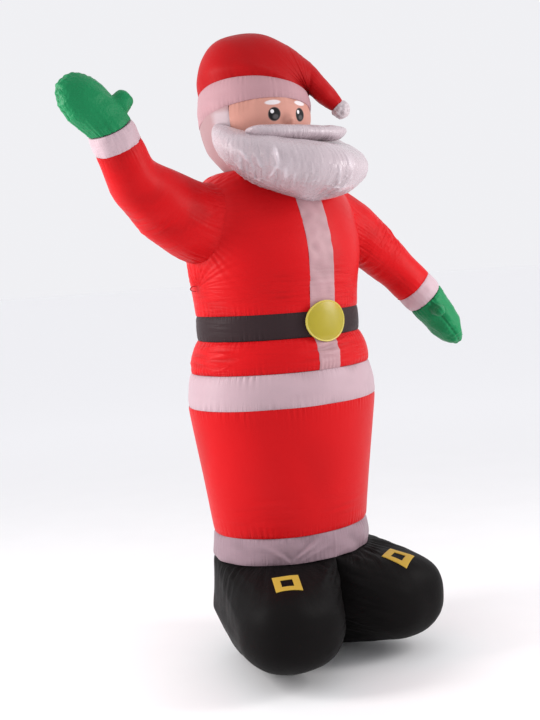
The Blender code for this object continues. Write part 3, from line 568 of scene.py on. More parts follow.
def oval_rows(half_width, half_depth, back, heights, turn):
    """Rings of an upright stack: x = w sin(turn), y = back - d cos(turn), z = height."""
    w, d, b, h = (np.asarray(v, float)[:, None] for v in (half_width, half_depth, back, heights))
    return np.stack([w * np.sin(turn), b - d * np.cos(turn), h + 0 * turn], -1)


BACK_FIRST = math.pi


def section(low, high, foot, top, swell, rows, columns):
    """A section between two seams: ovals mixed from one to the other, plus a bow 4t(1 - t)."""
    t = close_ends(rows)
    bow = swell * 4 * t * (1 - t)
    return oval_rows(
        mix(low[0], high[0], t) + bow, mix(low[1], high[1], t) + bow, mix(low[2], high[2], t),
        mix(foot, top, t), BACK_FIRST + round_turns(columns))


def seam_relief(points, edges, depth, height, fewest, most, reach, seed):
    """Pull and gathers of level seams at distance d: -depth exp(-d/9 mm) + height folds(turn)
    exp(-d/reach) (1 - exp(-d/4 mm))."""
    z = points[..., 2]
    turn = np.arctan2(points[..., 0], -points[..., 1])
    total = np.zeros(z.shape)
    for k, edge in enumerate(edges):
        away = np.abs(z - edge)
        folds = gathers(turn, fewest, most, seed + 31 * k) * (0.65 + 0.5 * gathers(turn, 3, 9, seed + 7 + k))
        total += -depth * np.exp(-away / STITCH_REACH) + height * folds * beside(away, reach, 0.004)
    return total


def slack(points, middle, spread, height, seed, size=(0.30, 0.30, 0.026)):
    """Long level wrinkles in a band of slack cloth, in patches, strongest at one height."""
    band = bell(points[..., 2] - middle, spread)
    patches = np.clip(0.45 + 0.6 * ripples(points, 0.28, seed + 1), 0, 1.2)
    return height * band * patches * (ripples(points, size, seed) + 1.2 * sharp_folds(points, size, seed + 2) - 0.4)


def chest_profile(height):
    """Half width, half depth and back of the chest at heights above the belt. The sides stay
    wide up to the shoulder arc sqrt(1 - s^2); breast and back start theirs lower."""
    low = ease(height / CHEST_HEIGHT)
    swell = CHEST_SWELL * np.sin(np.pi * np.minimum(1.0, height / CHEST_HEIGHT))
    side = np.clip((height - CHEST_HEIGHT) / SHOULDER_HEIGHT, 0, 1)
    breast = np.clip((height - BREAST_HEIGHT) / (CHEST_HEIGHT + SHOULDER_HEIGHT - BREAST_HEIGHT), 0, 1)
    return (
        mix(COLLAR[0], mix(BELT[0], CHEST_TOP[0], low) + swell, np.sqrt(1 - side ** 2)),
        mix(COLLAR[1], mix(BELT[1], CHEST_TOP[1], low) + swell, np.sqrt(1 - breast ** 2)),
        COLLAR[2] * breast ** 2)


def arm_path(arm, samples):
    """Even samples of a smooth curve through the joints and the cuff's foot: places, ways, radii
    and depths in shares of the radii. Radii ease from the shoulder's to the cuff's."""
    way = unit(arm["wrist_way"])
    path = smooth(np.array([*arm["joints"], np.asarray(arm["wrist"]) - way * CUFF_LENGTH]), samples)
    ahead = np.gradient(path, axis=0)
    ahead[-1] = way
    narrow = ease((np.linspace(0, 1, samples) - 0.18) / 0.82)
    return path, unit(ahead), mix(arm["shoulder"], SLEEVE_END, narrow), mix(0.84, 1.0, narrow)


def hoops(centres, ways, radius, depth, turn, up=(0.0, -1.0, 0.0)):
    """Ovals square to a path: centre + across r cos(turn) + lift d sin(turn)."""
    across = unit(np.cross(ways, np.asarray(up, float)))
    lift = unit(np.cross(across, ways))
    return (centres[:, None] + across[:, None] * (radius[:, None] * np.cos(turn))[..., None]
            + lift[:, None] * (depth[:, None] * np.sin(turn))[..., None])


def around_arm(points, arm):
    """Distance of points from an arm's skin, and their turn round the arm at the shoulder."""
    path, ways, radius, share = arm_path(arm, 60)
    path, ways, radius, share = path[:30], ways[:30], radius[:30], share[:30]
    gap = np.linalg.norm(points[..., None, :] - path, axis=-1)
    near = gap.argmin(-1)
    out = points - path[near]
    across = unit(np.cross(ways[near], (0.0, -1.0, 0.0)))
    lift = unit(np.cross(across, ways[near]))
    a, b = (out * across).sum(-1), (out * lift).sum(-1) / share[near]
    return np.sqrt(a ** 2 + b ** 2) - radius[near], np.arctan2(b, a)


def shoulder_fill(away, turn, side, height):
    """Cloth that bridges the corner of coat and sleeve above and in front of the arm:
    height w max(0, 1 - d/6 cm)^2, with w from 0 under the arm to 1 on top of it."""
    up = np.cos(turn) * (1 if side == "right" else -1)
    over = np.clip(0.35 + 0.55 * up + 0.35 * np.sin(turn), 0, 1)
    return height * over * np.clip(1 - np.maximum(away, 0) / 0.06, 0, 1) ** 2


TIE_SPOT, TIE_REACH = np.array([-0.345, 0.04, 1.431]), 0.13


def chest_pull(points, sizes):
    """Relief of the coat's chest: the belt seam, slack above it, soft dents, rays from the tie
    loop's stitching, sin(n angle) exp(-(distance/13 cm)^2), and folds running out of each armhole."""
    relief = seam_relief(points, (BELT_TOP_Z,), sizes.seam_depth, sizes.gather_height, 50, 110, 0.022, 61)
    relief += slack(points, BELT_TOP_Z + 0.07, 0.085, sizes.wrinkle_height, 62, (0.22, 0.22, 0.022))
    relief += 0.0014 * ripples(points, (0.30, 0.30, 0.22), 63)
    from_tie = points - TIE_SPOT
    fan = np.linalg.norm(from_tie * (0.55, 0.55, 1.0), axis=-1)
    sweep = np.arctan2(from_tie[..., 2], 0.7 * np.hypot(from_tie[..., 0], from_tie[..., 1]))
    rays = np.sin(sweep * 21 + 1.0) + 0.8 * np.sin(sweep * 34 + 2.0) + 0.6 * np.sin(sweep * 47 + 0.5)
    reach = bell(fan, TIE_REACH) * np.clip(fan / 0.02, 0, 1) * np.clip(0.6 + sweep, 0.15, 1.0)
    relief += np.where(points[..., 0] < 0, 0.0012 * reach * rays, 0.0) - 0.003 * bell(fan, 0.012)
    for side, arm in ARMS.items():
        away, round_arm = around_arm(points, arm)
        folds = gathers(round_arm, 24, 52, 70 if side == "right" else 80)
        relief += shoulder_fill(away, round_arm, side, 0.009)
        relief += np.where(away > 0, 0.0010 * folds * beside(away, 0.05, 0.006), 0.0)
    return relief


def waist_pull(points, sizes):
    """Relief of the coat below the belt: two seams and slack level wrinkles."""
    relief = seam_relief(
        points, (COAT_BAND_TOP_Z, BELT_FOOT_Z), sizes.seam_depth, sizes.gather_height, 60, 120, 0.02, 41)
    return relief + slack(
        points, COAT_BAND_TOP_Z + 0.05, 0.09, sizes.wrinkle_height * 1.5, 42, (0.22, 0.22, 0.026))


# Short folds drawn one by one in metres: start, end, width, height.
HEM_CREASES = (
    ((-0.265, -0.165, 0.485), (-0.180, -0.228, 0.405), 0.010, 0.006),
    ((-0.245, -0.205, 0.492), (-0.172, -0.232, 0.408), 0.008, -0.006),
    ((-0.06, -0.262, 0.480), (-0.165, -0.235, 0.415), 0.009, 0.007),
    ((-0.09, -0.258, 0.492), (-0.165, -0.235, 0.425), 0.007, -0.005),
    ((-0.02, -0.266, 0.455), (-0.15, -0.238, 0.408), 0.009, 0.006),
    ((0.235, -0.21, 0.485), (0.165, -0.238, 0.408), 0.010, 0.004),
    ((0.27, -0.17, 0.450), (0.19, -0.225, 0.415), 0.010, 0.004),
)
WAIST_BOW = 0.012


def make_robe(sizes, cloths):
    """The hem, skirt, coat band, waist, belt and chest: ovals mixed from seam to seam, moved out
    by the pull and gathers of their seams, soft dents and slack wrinkles."""
    depth, height, wrinkle, columns = sizes.seam_depth, sizes.gather_height, sizes.wrinkle_height, sizes.body_columns

    def stack(node, points, relief, cloth, slot, edges, reach, slackness=0.0):
        """Sews a section, with gathers marked by exp(-d/reach) from each of its seams."""
        near = sum(np.exp(-np.abs(points[..., 2] - edge) / reach) for edge in edges)
        sew(node, points, relief, cloths[cloth], slot, gather=near, slack=slackness)

    hem = section(ANKLE, SKIRT_FOOT, ANKLE_Z, HEM_TOP_Z, 0.004, 44, columns)
    relief = seam_relief(hem, (ANKLE_Z, HEM_TOP_Z), depth, height, 50, 110, 0.022, 11)
    relief += 0.0014 * ripples(hem, (0.14, 0.14, 0.05), 12) + creases(hem, HEM_CREASES)
    relief += 0.0030 * bell(hem[..., 0], 0.0040) * (hem[..., 1] < 0)
    stack("lower_hem", hem, relief, "hem", "white_nylon", (ANKLE_Z, HEM_TOP_Z), 0.02, 0.25)

    skirt = section(SKIRT_FOOT, SKIRT_TOP, HEM_TOP_Z, SKIRT_TOP_Z, 0.002, 110, columns)
    relief = seam_relief(skirt, (HEM_TOP_Z, SKIRT_TOP_Z), depth, height * 0.8, 60, 120, 0.03, 21)
    relief += 0.0013 * ripples(skirt, (0.35, 0.35, 0.5), 22)
    relief += slack(skirt, HEM_TOP_Z + 0.06, 0.10, wrinkle * 0.4, 23)
    low = np.exp(-(skirt[..., 2] - HEM_TOP_Z) / 0.10)
    stack("robe_skirt", skirt, relief, "red", "red_nylon", (HEM_TOP_Z, SKIRT_TOP_Z), 0.02, 0.35 * low)

    band = section(SKIRT_TOP, COAT_FOOT, SKIRT_TOP_Z, COAT_BAND_TOP_Z, 0.006, 50, columns)
    relief = seam_relief(band, (SKIRT_TOP_Z, COAT_BAND_TOP_Z), depth, height, 50, 110, 0.02, 31)
    relief += 0.0010 * ripples(band, (0.2, 0.2, 0.08), 32)
    stack("coat_band", band, relief, "white", "white_nylon", (SKIRT_TOP_Z, COAT_BAND_TOP_Z), 0.016)

    waist = section(COAT_FOOT, BELT, COAT_BAND_TOP_Z, BELT_FOOT_Z, WAIST_BOW, 80, columns)
    relief = waist_pull(waist, sizes)
    stack("coat_waist", waist, relief, "red", "red_nylon", (COAT_BAND_TOP_Z, BELT_FOOT_Z), 0.014, 0.55)

    belt = section(BELT, BELT, BELT_FOOT_Z, BELT_TOP_Z, 0.003, 50, columns)
    relief = seam_relief(belt, (BELT_FOOT_Z, BELT_TOP_Z), depth * 0.8, height * 0.6, 50, 110, 0.02, 51)
    relief += slack(belt, BELT_FOOT_Z + 0.047, 0.08, wrinkle * 0.7, 52, (0.26, 0.26, 0.024))
    stack("belt", belt, relief, "belt", "black_nylon", (BELT_FOOT_Z, BELT_TOP_Z), 0.010, 0.30)

    arc = np.concatenate([
        CHEST_HEIGHT * close_ends(125)[:-1],
        CHEST_HEIGHT + SHOULDER_HEIGHT * np.sin(np.linspace(0, np.pi / 2, 72))])
    chest = oval_rows(*chest_profile(arc), BELT_TOP_Z + arc, BACK_FIRST + round_turns(columns))
    loose = 0.6 * bell(chest[..., 2] - BELT_TOP_Z - 0.06, 0.09) + 0.10
    stack("coat_chest", chest, chest_pull(chest, sizes), "red", "red_nylon", (BELT_TOP_Z,), 0.016, loose)


PLACKET_WIDTHS, PLACKET_THICK, PLACKET_COLUMNS = {"upper": 0.117, "lower": 0.098}, 0.0024, 60


def make_plackets(sizes, cloths):
    """Flat strips sewn on the coat's front: a thin closed section bent to the coat's own oval and
    carried by the coat's own relief."""
    def strip(which, heights, oval, pull, seed, loose):
        """One strip: its face stands 2.4 mm - 1.6 mm s^10 off the coat, its back lies 5 mm inside."""
        w, d, b, h = (v[:, None] for v in (*oval, heights))
        width = PLACKET_WIDTHS[which]
        share = np.linspace(-1, 1, PLACKET_COLUMNS)
        turn = np.arcsin(width / 2 / w) * np.concatenate([share, share[::-1]])
        rise = np.concatenate([PLACKET_THICK - 0.0016 * share ** 10, np.full(PLACKET_COLUMNS, -0.005)])
        points = np.stack([w * np.sin(turn), b - d * np.cos(turn), h + 0 * turn], -1)
        away = unit(np.stack([np.sin(turn) / w, -np.cos(turn) / d, 0 * turn], -1))
        ripple = 0.0007 * ripples(points, (0.05, 0.05, 0.07), seed) * (rise > 0)
        relief = pull(points, sizes)
        points = points + away * (relief + rise + ripple)[..., None]
        mesh = mesh_of(which + "_placket", [points], fold=[(relief + ripple) / DEEP_FOLD], slack=[loose(points)])
        finish_piece(mesh, which + "_placket", cloths["placket"])

    arc = np.linspace(0.0, CHEST_HEIGHT + SHOULDER_HEIGHT * math.sin(math.radians(50)), 190)
    strip("upper", BELT_TOP_Z + arc, chest_profile(arc), chest_pull, 91,
          lambda points: 0.6 * bell(points[..., 2] - BELT_TOP_Z, 0.07) + 0.12)
    t = np.linspace(0, 1, 70)
    bow = WAIST_BOW * 4 * t * (1 - t)
    oval = (mix(COAT_FOOT[0], BELT[0], t) + bow, mix(COAT_FOOT[1], BELT[1], t) + bow, 0 * t)
    strip("lower", mix(COAT_BAND_TOP_Z, BELT_FOOT_Z, t), oval, waist_pull, 92, lambda points: 0.35)


# Boots

SIDES = (("left", 1.0), ("right", -1.0))
BOOT_GAP, HEEL, HEEL_RADII, HEEL_ROUND = 0.0005, (0.155, 0.010), (0.130, 0.215), 0.200
LEG_SPREAD = 0.014  # how much wider the leg is above the heel than at the ankle's seam
BOOT_MIDDLE, BOOT_ROWS, BOOT_COLUMNS, BOOT_WAYS = np.array([0.185, -0.10, 0.215]), 150, 320, 3600
TOE, TOE_RADII, TOE_FULLNESS = np.array([0.247, -0.296, 0.212]), np.array([0.194, 0.170, 0.157]), 2.35


def boot_reaches():
    """Directions spread over a sphere, and how far the left boot reaches along each: the larger of
    its ankle and heel points and of the toe ball, whose reach is its dual norm."""
    k = np.arange(BOOT_WAYS) + 0.5
    lift, turn = np.arccos(1 - 2 * k / BOOT_WAYS), math.pi * (1 + math.sqrt(5)) * k
    ways = np.stack([np.cos(turn) * np.sin(lift), np.sin(turn) * np.sin(lift), np.cos(lift)], -1)
    half = np.linspace(0, np.pi, 49)

    def half_ring(grow, z):
        """Points of the ankle's oval on the boot's own side, wider by grow."""
        return np.stack([(ANKLE[0] + grow) * np.sin(half), -(ANKLE[1] + grow) * np.cos(half), np.full(49, z)], -1)

    sweep, around = np.meshgrid(np.linspace(0, np.pi / 2, 13), round_turns(48), indexing="ij")
    share = mix(0.38, 1.0, np.sin(sweep))
    heel = np.stack([
        HEEL[0] + HEEL_RADII[0] * share * np.sin(around), HEEL[1] - HEEL_RADII[1] * share * np.cos(around),
        HEEL_ROUND * (1 - np.cos(sweep))], -1).reshape(-1, 3)
    cloud = np.concatenate([half_ring(0, ANKLE_Z), half_ring(LEG_SPREAD, HEEL_ROUND), heel])
    cloud[:, 0] = np.maximum(cloud[:, 0], BOOT_GAP)
    ways = np.concatenate([ways, [(0, 0, -1.0), (0, 0, 1.0), (-1.0, 0, 0)]])
    power = TOE_FULLNESS / (TOE_FULLNESS - 1)
    toe = ways @ TOE + (np.abs(ways * TOE_RADII) ** power).sum(1) ** (1 / power)
    reach = np.maximum((ways @ cloud.T).max(1), toe)
    reach[-1] = -BOOT_GAP
    return ways, reach


def boot_hit(origin, sights, planes):
    """Where sight lines from inside leave the boot: the nearest plane, min (reach - n.o)/(n.s)."""
    ways, reach = planes
    room = reach - ways @ origin
    flat = sights.reshape(-1, 3)
    far = np.concatenate([
        np.min(np.where(part @ ways.T > 1e-4, room / np.maximum(part @ ways.T, 1e-4), 1e9), axis=1)
        for part in np.array_split(flat, max(1, len(flat) // 1500))])
    return origin + sights * far.reshape(sights.shape[:-1])[..., None]


def boot_skin(planes):
    """The left boot: sight lines swing evenly from the ankle's rim down to the sole, and the skin
    is where each leaves the boot."""
    turn = round_turns(BOOT_COLUMNS)
    rim = np.stack([
        np.where(turn <= np.pi, ANKLE[0] * np.sin(turn), 0), -ANKLE[1] * np.cos(turn),
        np.full(BOOT_COLUMNS, ANKLE_Z)], -1)
    rim[:, 0] = np.maximum(rim[:, 0], BOOT_GAP)
    t = np.linspace(0, 1, BOOT_ROWS)[:, None, None]
    start, down = unit(rim - BOOT_MIDDLE)[None], -UP
    angle = np.arccos(np.clip((start * down).sum(-1, keepdims=True), -1, 1))
    sights = (np.sin((1 - t) * angle) * start + np.sin(t * angle) * down) / np.sin(angle)
    points = boot_hit(BOOT_MIDDLE, sights, planes)
    points[0] = rim
    return points


BOOT_BUCKLES, BUCKLE_SPLAY = {"left": (0.237, -0.348), "right": (0.268, -0.316)}, math.radians(28)
FRAME_OUTER, FRAME_INNER, FRAME_STEPS, FRAME_ROWS = 0.048, 0.022, 26, 14


def make_boots(sizes, cloths):
    """Both boots from one skin: the hem's pull, gathers folds(turn) exp(-d/5 cm) under it, soft
    dents, and slanting wrinkles on the inner side. The relief fades out at the flat inner wall,
    on the sole and round the buckle."""
    skin = boot_skin(boot_reaches())
    for side, sign in SIDES:
        points = skin.copy()
        x, y, z = points[..., 0], points[..., 1], points[..., 2]
        below = ANKLE_Z - z
        seed = 110 if side == "left" else 120
        wall = np.clip((x - 0.010) / 0.03, 0, 1)
        relief = -sizes.seam_depth * np.exp(-below / 0.010)
        relief += 0.0020 * gathers(np.arctan2(x - 0.10, -y), 30, 70, seed) * beside(below, 0.05, 0.006)
        relief += 0.0009 * ripples(points, (0.12, 0.18, 0.10), seed + 1) * bell(z - 0.27, 0.13)
        inner = bell(x - 0.02, 0.11) * np.clip((z - 0.05) / 0.1, 0, 1)
        slant = points @ np.array([[1.0, 0.0, 0.35], [0.0, 0.25, 0.0], [0.35, 0.0, 1.0]])
        relief += 0.0022 * inner * ripples(slant, (0.14, 0.26, 0.026), seed + 2)
        relief += 0.0008 * bell(z - 0.16, 0.16) * ripples(points, 0.13, seed + 3)
        relief *= wall * np.clip(z / 0.03, 0, 1)
        from_buckle = np.hypot(x - BOOT_BUCKLES[side][0], y - BOOT_BUCKLES[side][1])
        relief *= 1 - np.exp(-(from_buckle / 0.078) ** 6) * (z > 0.25)
        moved = push(points, relief)
        moved[..., 2] = np.clip(moved[..., 2], 0.0, ANKLE_Z - 0.0002)
        moved[..., 0] = sign * np.maximum(moved[..., 0], BOOT_GAP)
        mesh = mesh_of(
            side + "_boot", [moved], fold=[relief / 0.005],
            gather=[wall * np.exp(-below / 0.04)], slack=[0.9 * inner * wall])
        finish_piece(mesh, side + "_boot", cloths["boot"])


def make_boot_buckles(sizes, cloths):
    """A square cloth frame laid on each boot: its plan goes straight down onto the boot's skin,
    height = min (reach - n.p)/n.z, and its face stands 3 mm - 1.4 mm s^8 off it."""
    ways, reach = boot_reaches()
    lit = ways[:, 2] > 1e-3
    ways, reach = ways[lit], reach[lit]
    edge, one = np.linspace(-1, 1, FRAME_STEPS, endpoint=False), np.ones(FRAME_STEPS)
    square = np.concatenate([
        np.stack(pair, -1) for pair in ((edge, -one), (one, edge), (-edge, one), (-one, -edge))])
    share = np.linspace(0, 1, FRAME_ROWS)
    widths = mix(FRAME_OUTER, FRAME_INNER, np.concatenate([share, share[::-1]]))
    lift = np.concatenate([0.0030 - 0.0014 * (2 * share - 1) ** 8, np.full(FRAME_ROWS, -0.004)])
    across, along = np.moveaxis(widths[:, None, None] * square, -1, 0)
    for side, sign in SIDES:
        x = BOOT_BUCKLES[side][0] + across * math.cos(BUCKLE_SPLAY) - along * math.sin(BUCKLE_SPLAY)
        y = BOOT_BUCKLES[side][1] + across * math.sin(BUCKLE_SPLAY) + along * math.cos(BUCKLE_SPLAY)
        base = np.stack([x, y, np.full(x.shape, 0.22)], -1).reshape(-1, 3)
        heights = (reach - base @ ways.T) / ways[:, 2]
        nearest = heights.argmin(1)
        spots = base + UP * heights.min(1)[:, None]
        points = (spots + ways[nearest] * np.repeat(lift, 4 * FRAME_STEPS)[:, None]).reshape(*x.shape, 3)
        points[..., 0] *= sign
        mesh = ring_mesh(side + "_boot_buckle", points)
        finish_piece(mesh, side + "_boot_buckle", cloths["gold"], angle=40)


def ring_mesh(name, points, step=0.002):
    """A closed grid that wraps both ways, such as a frame with a hole."""
    rows, columns = points.shape[:2]
    a = np.arange(rows * columns).reshape(rows, columns)
    b = np.roll(a, -1, 1)
    quads = np.stack([a, b, np.roll(b, -1, 0), np.roll(a, -1, 0)], -1).reshape(-1, 4)
    mesh = bpy.data.meshes.new(name)
    mesh.from_pydata((points.reshape(-1, 3) + AXIS).tolist(), [], quads.tolist())
    spread = np.stack(np.meshgrid(np.arange(columns) * step, np.arange(rows) * step), -1).reshape(-1, 2)
    corner = np.empty(len(mesh.loops), np.int32)
    mesh.loops.foreach_get("vertex_index", corner)
    mesh.uv_layers.new(name="cloth").uv.foreach_set("vector", spread[corner].reshape(-1))
    for mark in MARKS:
        mesh.attributes.new(mark, "FLOAT", "POINT")
    return mesh


# Arms, cuffs and mittens

SLEEVE_CREASES = (
    ((0.36, -0.130, 1.575), (0.585, -0.135, 1.375), 0.0045, -0.0022),
    ((0.46, -0.100, 1.640), (0.475, -0.120, 1.560), 0.008, 0.0045),
    ((0.49, -0.090, 1.620), (0.500, -0.125, 1.540), 0.007, -0.0040),
    ((0.52, -0.080, 1.600), (0.525, -0.120, 1.520), 0.007, 0.0045),
    ((0.55, -0.075, 1.570), (0.545, -0.115, 1.505), 0.007, -0.0035),
)
CRUMPLE_SPOT, CRUMPLE_REACH = (0.520, -0.080, 1.590), 0.080


def make_arms(sizes, cloths):
    """Sleeves: hoops along the arm's path, moved by the cuff seam's pull, gathers that run out of
    the armhole, the bridge at the shoulder, soft dents, and sin(run) folds inside the elbow. The
    left one is also crumpled on top. Cuffs: short straight tubes with a slight bow."""
    for side, arm in ARMS.items():
        seed = 200 if side == "right" else 300
        path, ways, radius, share = arm_path(arm, 170)
        turn = round_turns(200)
        sleeve = hoops(path, ways, radius, radius * share, turn)
        run = np.concatenate([[0], np.cumsum(np.linalg.norm(np.diff(path, axis=0), axis=1))])
        to_cuff = (run[-1] - run)[:, None]
        w, d, b = chest_profile(np.clip(sleeve[..., 2] - BELT_TOP_Z, 0, 0.54))
        out = (np.hypot(sleeve[..., 0] / w, (sleeve[..., 1] - b) / d) - 1) * w
        clear = np.maximum(out, 0)
        relief = -sizes.seam_depth * np.exp(-to_cuff / STITCH_REACH)
        relief = relief + 0.0005 * gathers(turn, 20, 44, seed + 1)[None] * beside(to_cuff, 0.03, 0.004)
        relief += shoulder_fill(out, turn, side, 0.012)
        relief += 0.0014 * gathers(turn, 26, 60, seed)[None] * beside(clear, 0.05, 0.006)
        relief += 0.0014 * ripples(sleeve, (0.14, 0.12, 0.12), seed + 2)
        inside = np.clip(np.cos(turn - np.pi * (side == "right")), 0, 1)
        bend = bell(run / run[-1] - 0.55, 0.22)[:, None] * inside
        across = np.sin(run * 2 * np.pi / 0.041 + 1.3)[:, None] + 0.6 * np.sin(run * 2 * np.pi / 0.027)[:, None]
        relief += 0.0008 * bend * across * (0.6 + 0.5 * ripples(sleeve, 0.09, seed + 3))
        relief += 0.0016 * sharp_folds(sleeve, (0.16, 0.16, 0.045), seed + 4) * beside(clear, 0.10)
        crumple = 0.0
        if side == "left":
            relief += creases(sleeve, SLEEVE_CREASES)
            crumple = bell(np.linalg.norm((sleeve - CRUMPLE_SPOT) * (1.0, 0.7, 1.0), axis=-1), CRUMPLE_REACH)
            relief += 0.0045 * crumple * sharp_folds(sleeve, (0.034, 0.080, 0.070), seed + 7)
        sew(side + "_sleeve", sleeve, relief, cloths["red"], "red_nylon",
            gather=0.35 * beside(to_cuff, 0.018) + 0.9 * beside(clear, 0.06), slack=0.15 + 0.3 * bend + 1.6 * crumple)

        way, wrist = unit(arm["wrist_way"]), np.asarray(arm["wrist"])
        t = close_ends(44)
        centres = wrist - way * CUFF_LENGTH + way * (CUFF_LENGTH * t)[:, None]
        ring = mix(SLEEVE_END - 0.001, CUFF_END, t) + 0.003 * 4 * t * (1 - t)
        cuff = hoops(centres, np.tile(way, (44, 1)), ring, ring, turn)
        end = np.minimum(t, 1 - t)[:, None] * CUFF_LENGTH
        relief = -sizes.seam_depth * 0.8 * beside(end, 0.007)
        relief = relief + 0.0004 * gathers(turn, 18, 40, seed + 5)[None] * beside(end, 0.02)
        relief += 0.0008 * ripples(cuff, 0.05, seed + 6)
        sew(side + "_cuff", cuff, relief, cloths["cuff"], "white_nylon", gather=0.4 * beside(end, 0.012), slack=0.3)


# Thumbs: length, radius at the tip, and how far the root lies ahead of the palm's middle.
THUMBS = {"right": (0.121, 0.034, 0.021), "left": (0.134, 0.019, 0.0)}
THUMB_ROOT_RADIUS, HAND_LENGTH, PALM_HALF_WIDTH, PALM_HALF_DEPTH = 0.037, 0.240, 0.086, 0.072


def mitten_grids(arm, thumb_length, thumb_tip, thumb_ahead):
    """The palm, a tube that swells from the cuff and rounds off, the thumb, a blunt tube, and the
    ball of the thumb, a short round that fills the corner down to the cuff."""
    way, hand, thumb = unit(arm["wrist_way"]), unit(arm["hand_way"]), unit(arm["thumb_way"])
    wrist = np.asarray(arm["wrist"], float)
    across = unit(thumb - (thumb @ hand) * hand)
    palm = np.cross(hand, across)
    t = np.linspace(0, 1, 120)
    reach = np.where(t > 0.5, 1 - (1 - t) ** 1.5, t * (1 - 0.5 ** 1.5) / 0.5)
    full = rounded(np.clip((reach - 0.42) / 0.58, 0, 1), 2.6)
    thin = np.clip(1 - np.clip((reach - 0.30) / 0.70, 0, 1) ** 2.3, 0, 1) ** 0.62
    swell, foot = ease(reach / 0.42), CUFF_END * 0.96
    ways = unit(mix(way, hand, ease(t * 2.5)[:, None]))
    ahead = hand * reach[:, None] + (way - hand) * 0.12 * np.sin(np.pi * reach)[:, None]
    centres = wrist + way * 0.0004 - across * 0.016 * ease(reach * 2)[:, None] + ahead * HAND_LENGTH
    body = hoops(centres, ways, mix(foot, PALM_HALF_WIDTH, swell) * full, mix(foot, PALM_HALF_DEPTH, swell) * thin,
                 round_turns(120), palm)

    def straight(places, way, size):
        """A round tube through places along one way."""
        return hoops(places, np.tile(way, (len(size), 1)), size, size, round_turns(64), palm)

    s = np.linspace(0, 1, 60)
    root = wrist + hand * 0.040 + across * 0.010 - palm * thumb_ahead
    size = rounded(np.clip((s - 0.72) / 0.28, 0, 1), 2.4) * mix(THUMB_ROOT_RADIUS, thumb_tip, s)
    finger = straight(root + thumb * thumb_length * s[:, None], thumb, size)
    low = wrist + across * 0.058 + way * 0.034 - palm * thumb_ahead
    high = root + thumb * 0.090 + across * 0.008
    s = np.sin(np.linspace(-np.pi / 2, np.pi / 2, 50))
    ball = straight((low + high) / 2 + (high - low) * (0.85 * s[:, None]), unit(high - low),
                    (thumb_tip + 0.001) * rounded(np.abs(s), 4))
    return (body, finger, ball), (wrist, way, hand, across, palm)


def joined_mesh(name, grids):
    """One skin round several grids: a voxel remesh, softened, without maps or marks."""
    rough = tidy_mesh(mesh_of(name, grids))
    shape = bpy.data.objects.new(name, rough)
    bpy.context.scene.collection.objects.link(shape)
    join = shape.modifiers.new("join", "REMESH")
    join.mode, join.voxel_size = "VOXEL", 0.0032
    soften = shape.modifiers.new("soften", "SMOOTH")
    soften.factor, soften.iterations = 0.5, 10
    bpy.context.view_layer.update()
    mesh = bpy.data.meshes.new_from_object(shape.evaluated_get(bpy.context.evaluated_depsgraph_get()))
    bpy.data.objects.remove(shape)
    for layer in [layer.name for layer in mesh.uv_layers]:
        mesh.uv_layers.remove(mesh.uv_layers[layer])
    for mark in MARKS:
        if mark in mesh.attributes:
            mesh.attributes.remove(mesh.attributes[mark])
    return mesh


def make_mittens(sizes, cloths):
    """Mittens: palm and thumb in one skin, moved by gathers folds(turn) exp(-d/4.5 cm) at the cuff,
    a crimped seam exp(-(depth/4.5 mm)^2) round the hand's edge, and soft dents and folds."""
    for side, arm in ARMS.items():
        seed = 400 if side == "right" else 500
        grids, (wrist, way, hand, across, palm) = mitten_grids(arm, *THUMBS[side])
        mesh = joined_mesh(side + "_mitten_rough", grids)
        spots, normals = np.empty(len(mesh.vertices) * 3), np.empty(len(mesh.vertices) * 3)
        mesh.vertices.foreach_get("co", spots)
        mesh.vertices.foreach_get("normal", normals)
        spots, normals = spots.reshape(-1, 3) - AXIS, normals.reshape(-1, 3)
        out = spots - wrist
        run, aside, depth, from_cuff = out @ hand, out @ across, out @ palm, np.maximum(out @ way, 0)
        turn = np.arctan2(depth, aside + 0.012)
        relief = 0.0018 * gathers(turn, 16, 34, seed) * beside(from_cuff, 0.045) * np.clip(from_cuff / 0.006, 0, 1)
        relief += -0.0035 * beside(from_cuff, 0.006)
        relief += -0.0032 * bell(depth, 0.0045) * np.clip(from_cuff / 0.02, 0, 1)
        crimp = np.sin(run * 2 * np.pi / 0.019) + np.sin(aside * 2 * np.pi / 0.023 + 1.0)
        relief += 0.0014 * crimp * bell(depth, 0.024) * ease((run - 0.09) / 0.1)
        relief += 0.0014 * ripples(spots, 0.07, seed + 1) + 0.0012 * sharp_folds(spots, (0.06, 0.06, 0.06), seed + 2)
        mesh.vertices.foreach_set("co", (spots + normals * relief[:, None] + AXIS).reshape(-1))
        mesh.attributes.new("fold", "FLOAT", "POINT").data.foreach_set("value", relief / 0.007)
        finish_piece(mesh, side + "_mitten", cloths["green"])


# Head and hat

def head_radius(above_neck):
    """Radius of the head's round: an upright oval that narrows to the neck and to the top."""
    h = above_neck - HEAD_BELOW
    below = 1 - (h / HEAD_BELOW) ** 2 * (1 - (NECK_RADIUS / HEAD_RADIUS) ** 2)
    return HEAD_RADIUS * np.sqrt(np.clip(np.where(h < 0, below, 1 - (h / HEAD_ABOVE) ** 2), 0, None))


def head_points(turn, z, grow=0.0):
    """The head's skin: x = r sin(turn), y = slide - r cos(turn), where the middle slides back from
    the collar's to the head's over the first 10 cm."""
    slide = mix(COLLAR[2], HEAD_Y, ease((z - COLLAR_Z) / 0.10))
    radius = head_radius(z - COLLAR_Z) + grow
    return np.stack([radius * np.sin(turn), slide - radius * np.cos(turn), z], -1)


def sloped(points, level, tilt):
    """Height of a sloping plane over points: level + slope_x x + slope_y (y - head's middle)."""
    return level + tilt[0] * points[..., 0] + tilt[1] * (points[..., 1] - HEAD_Y)


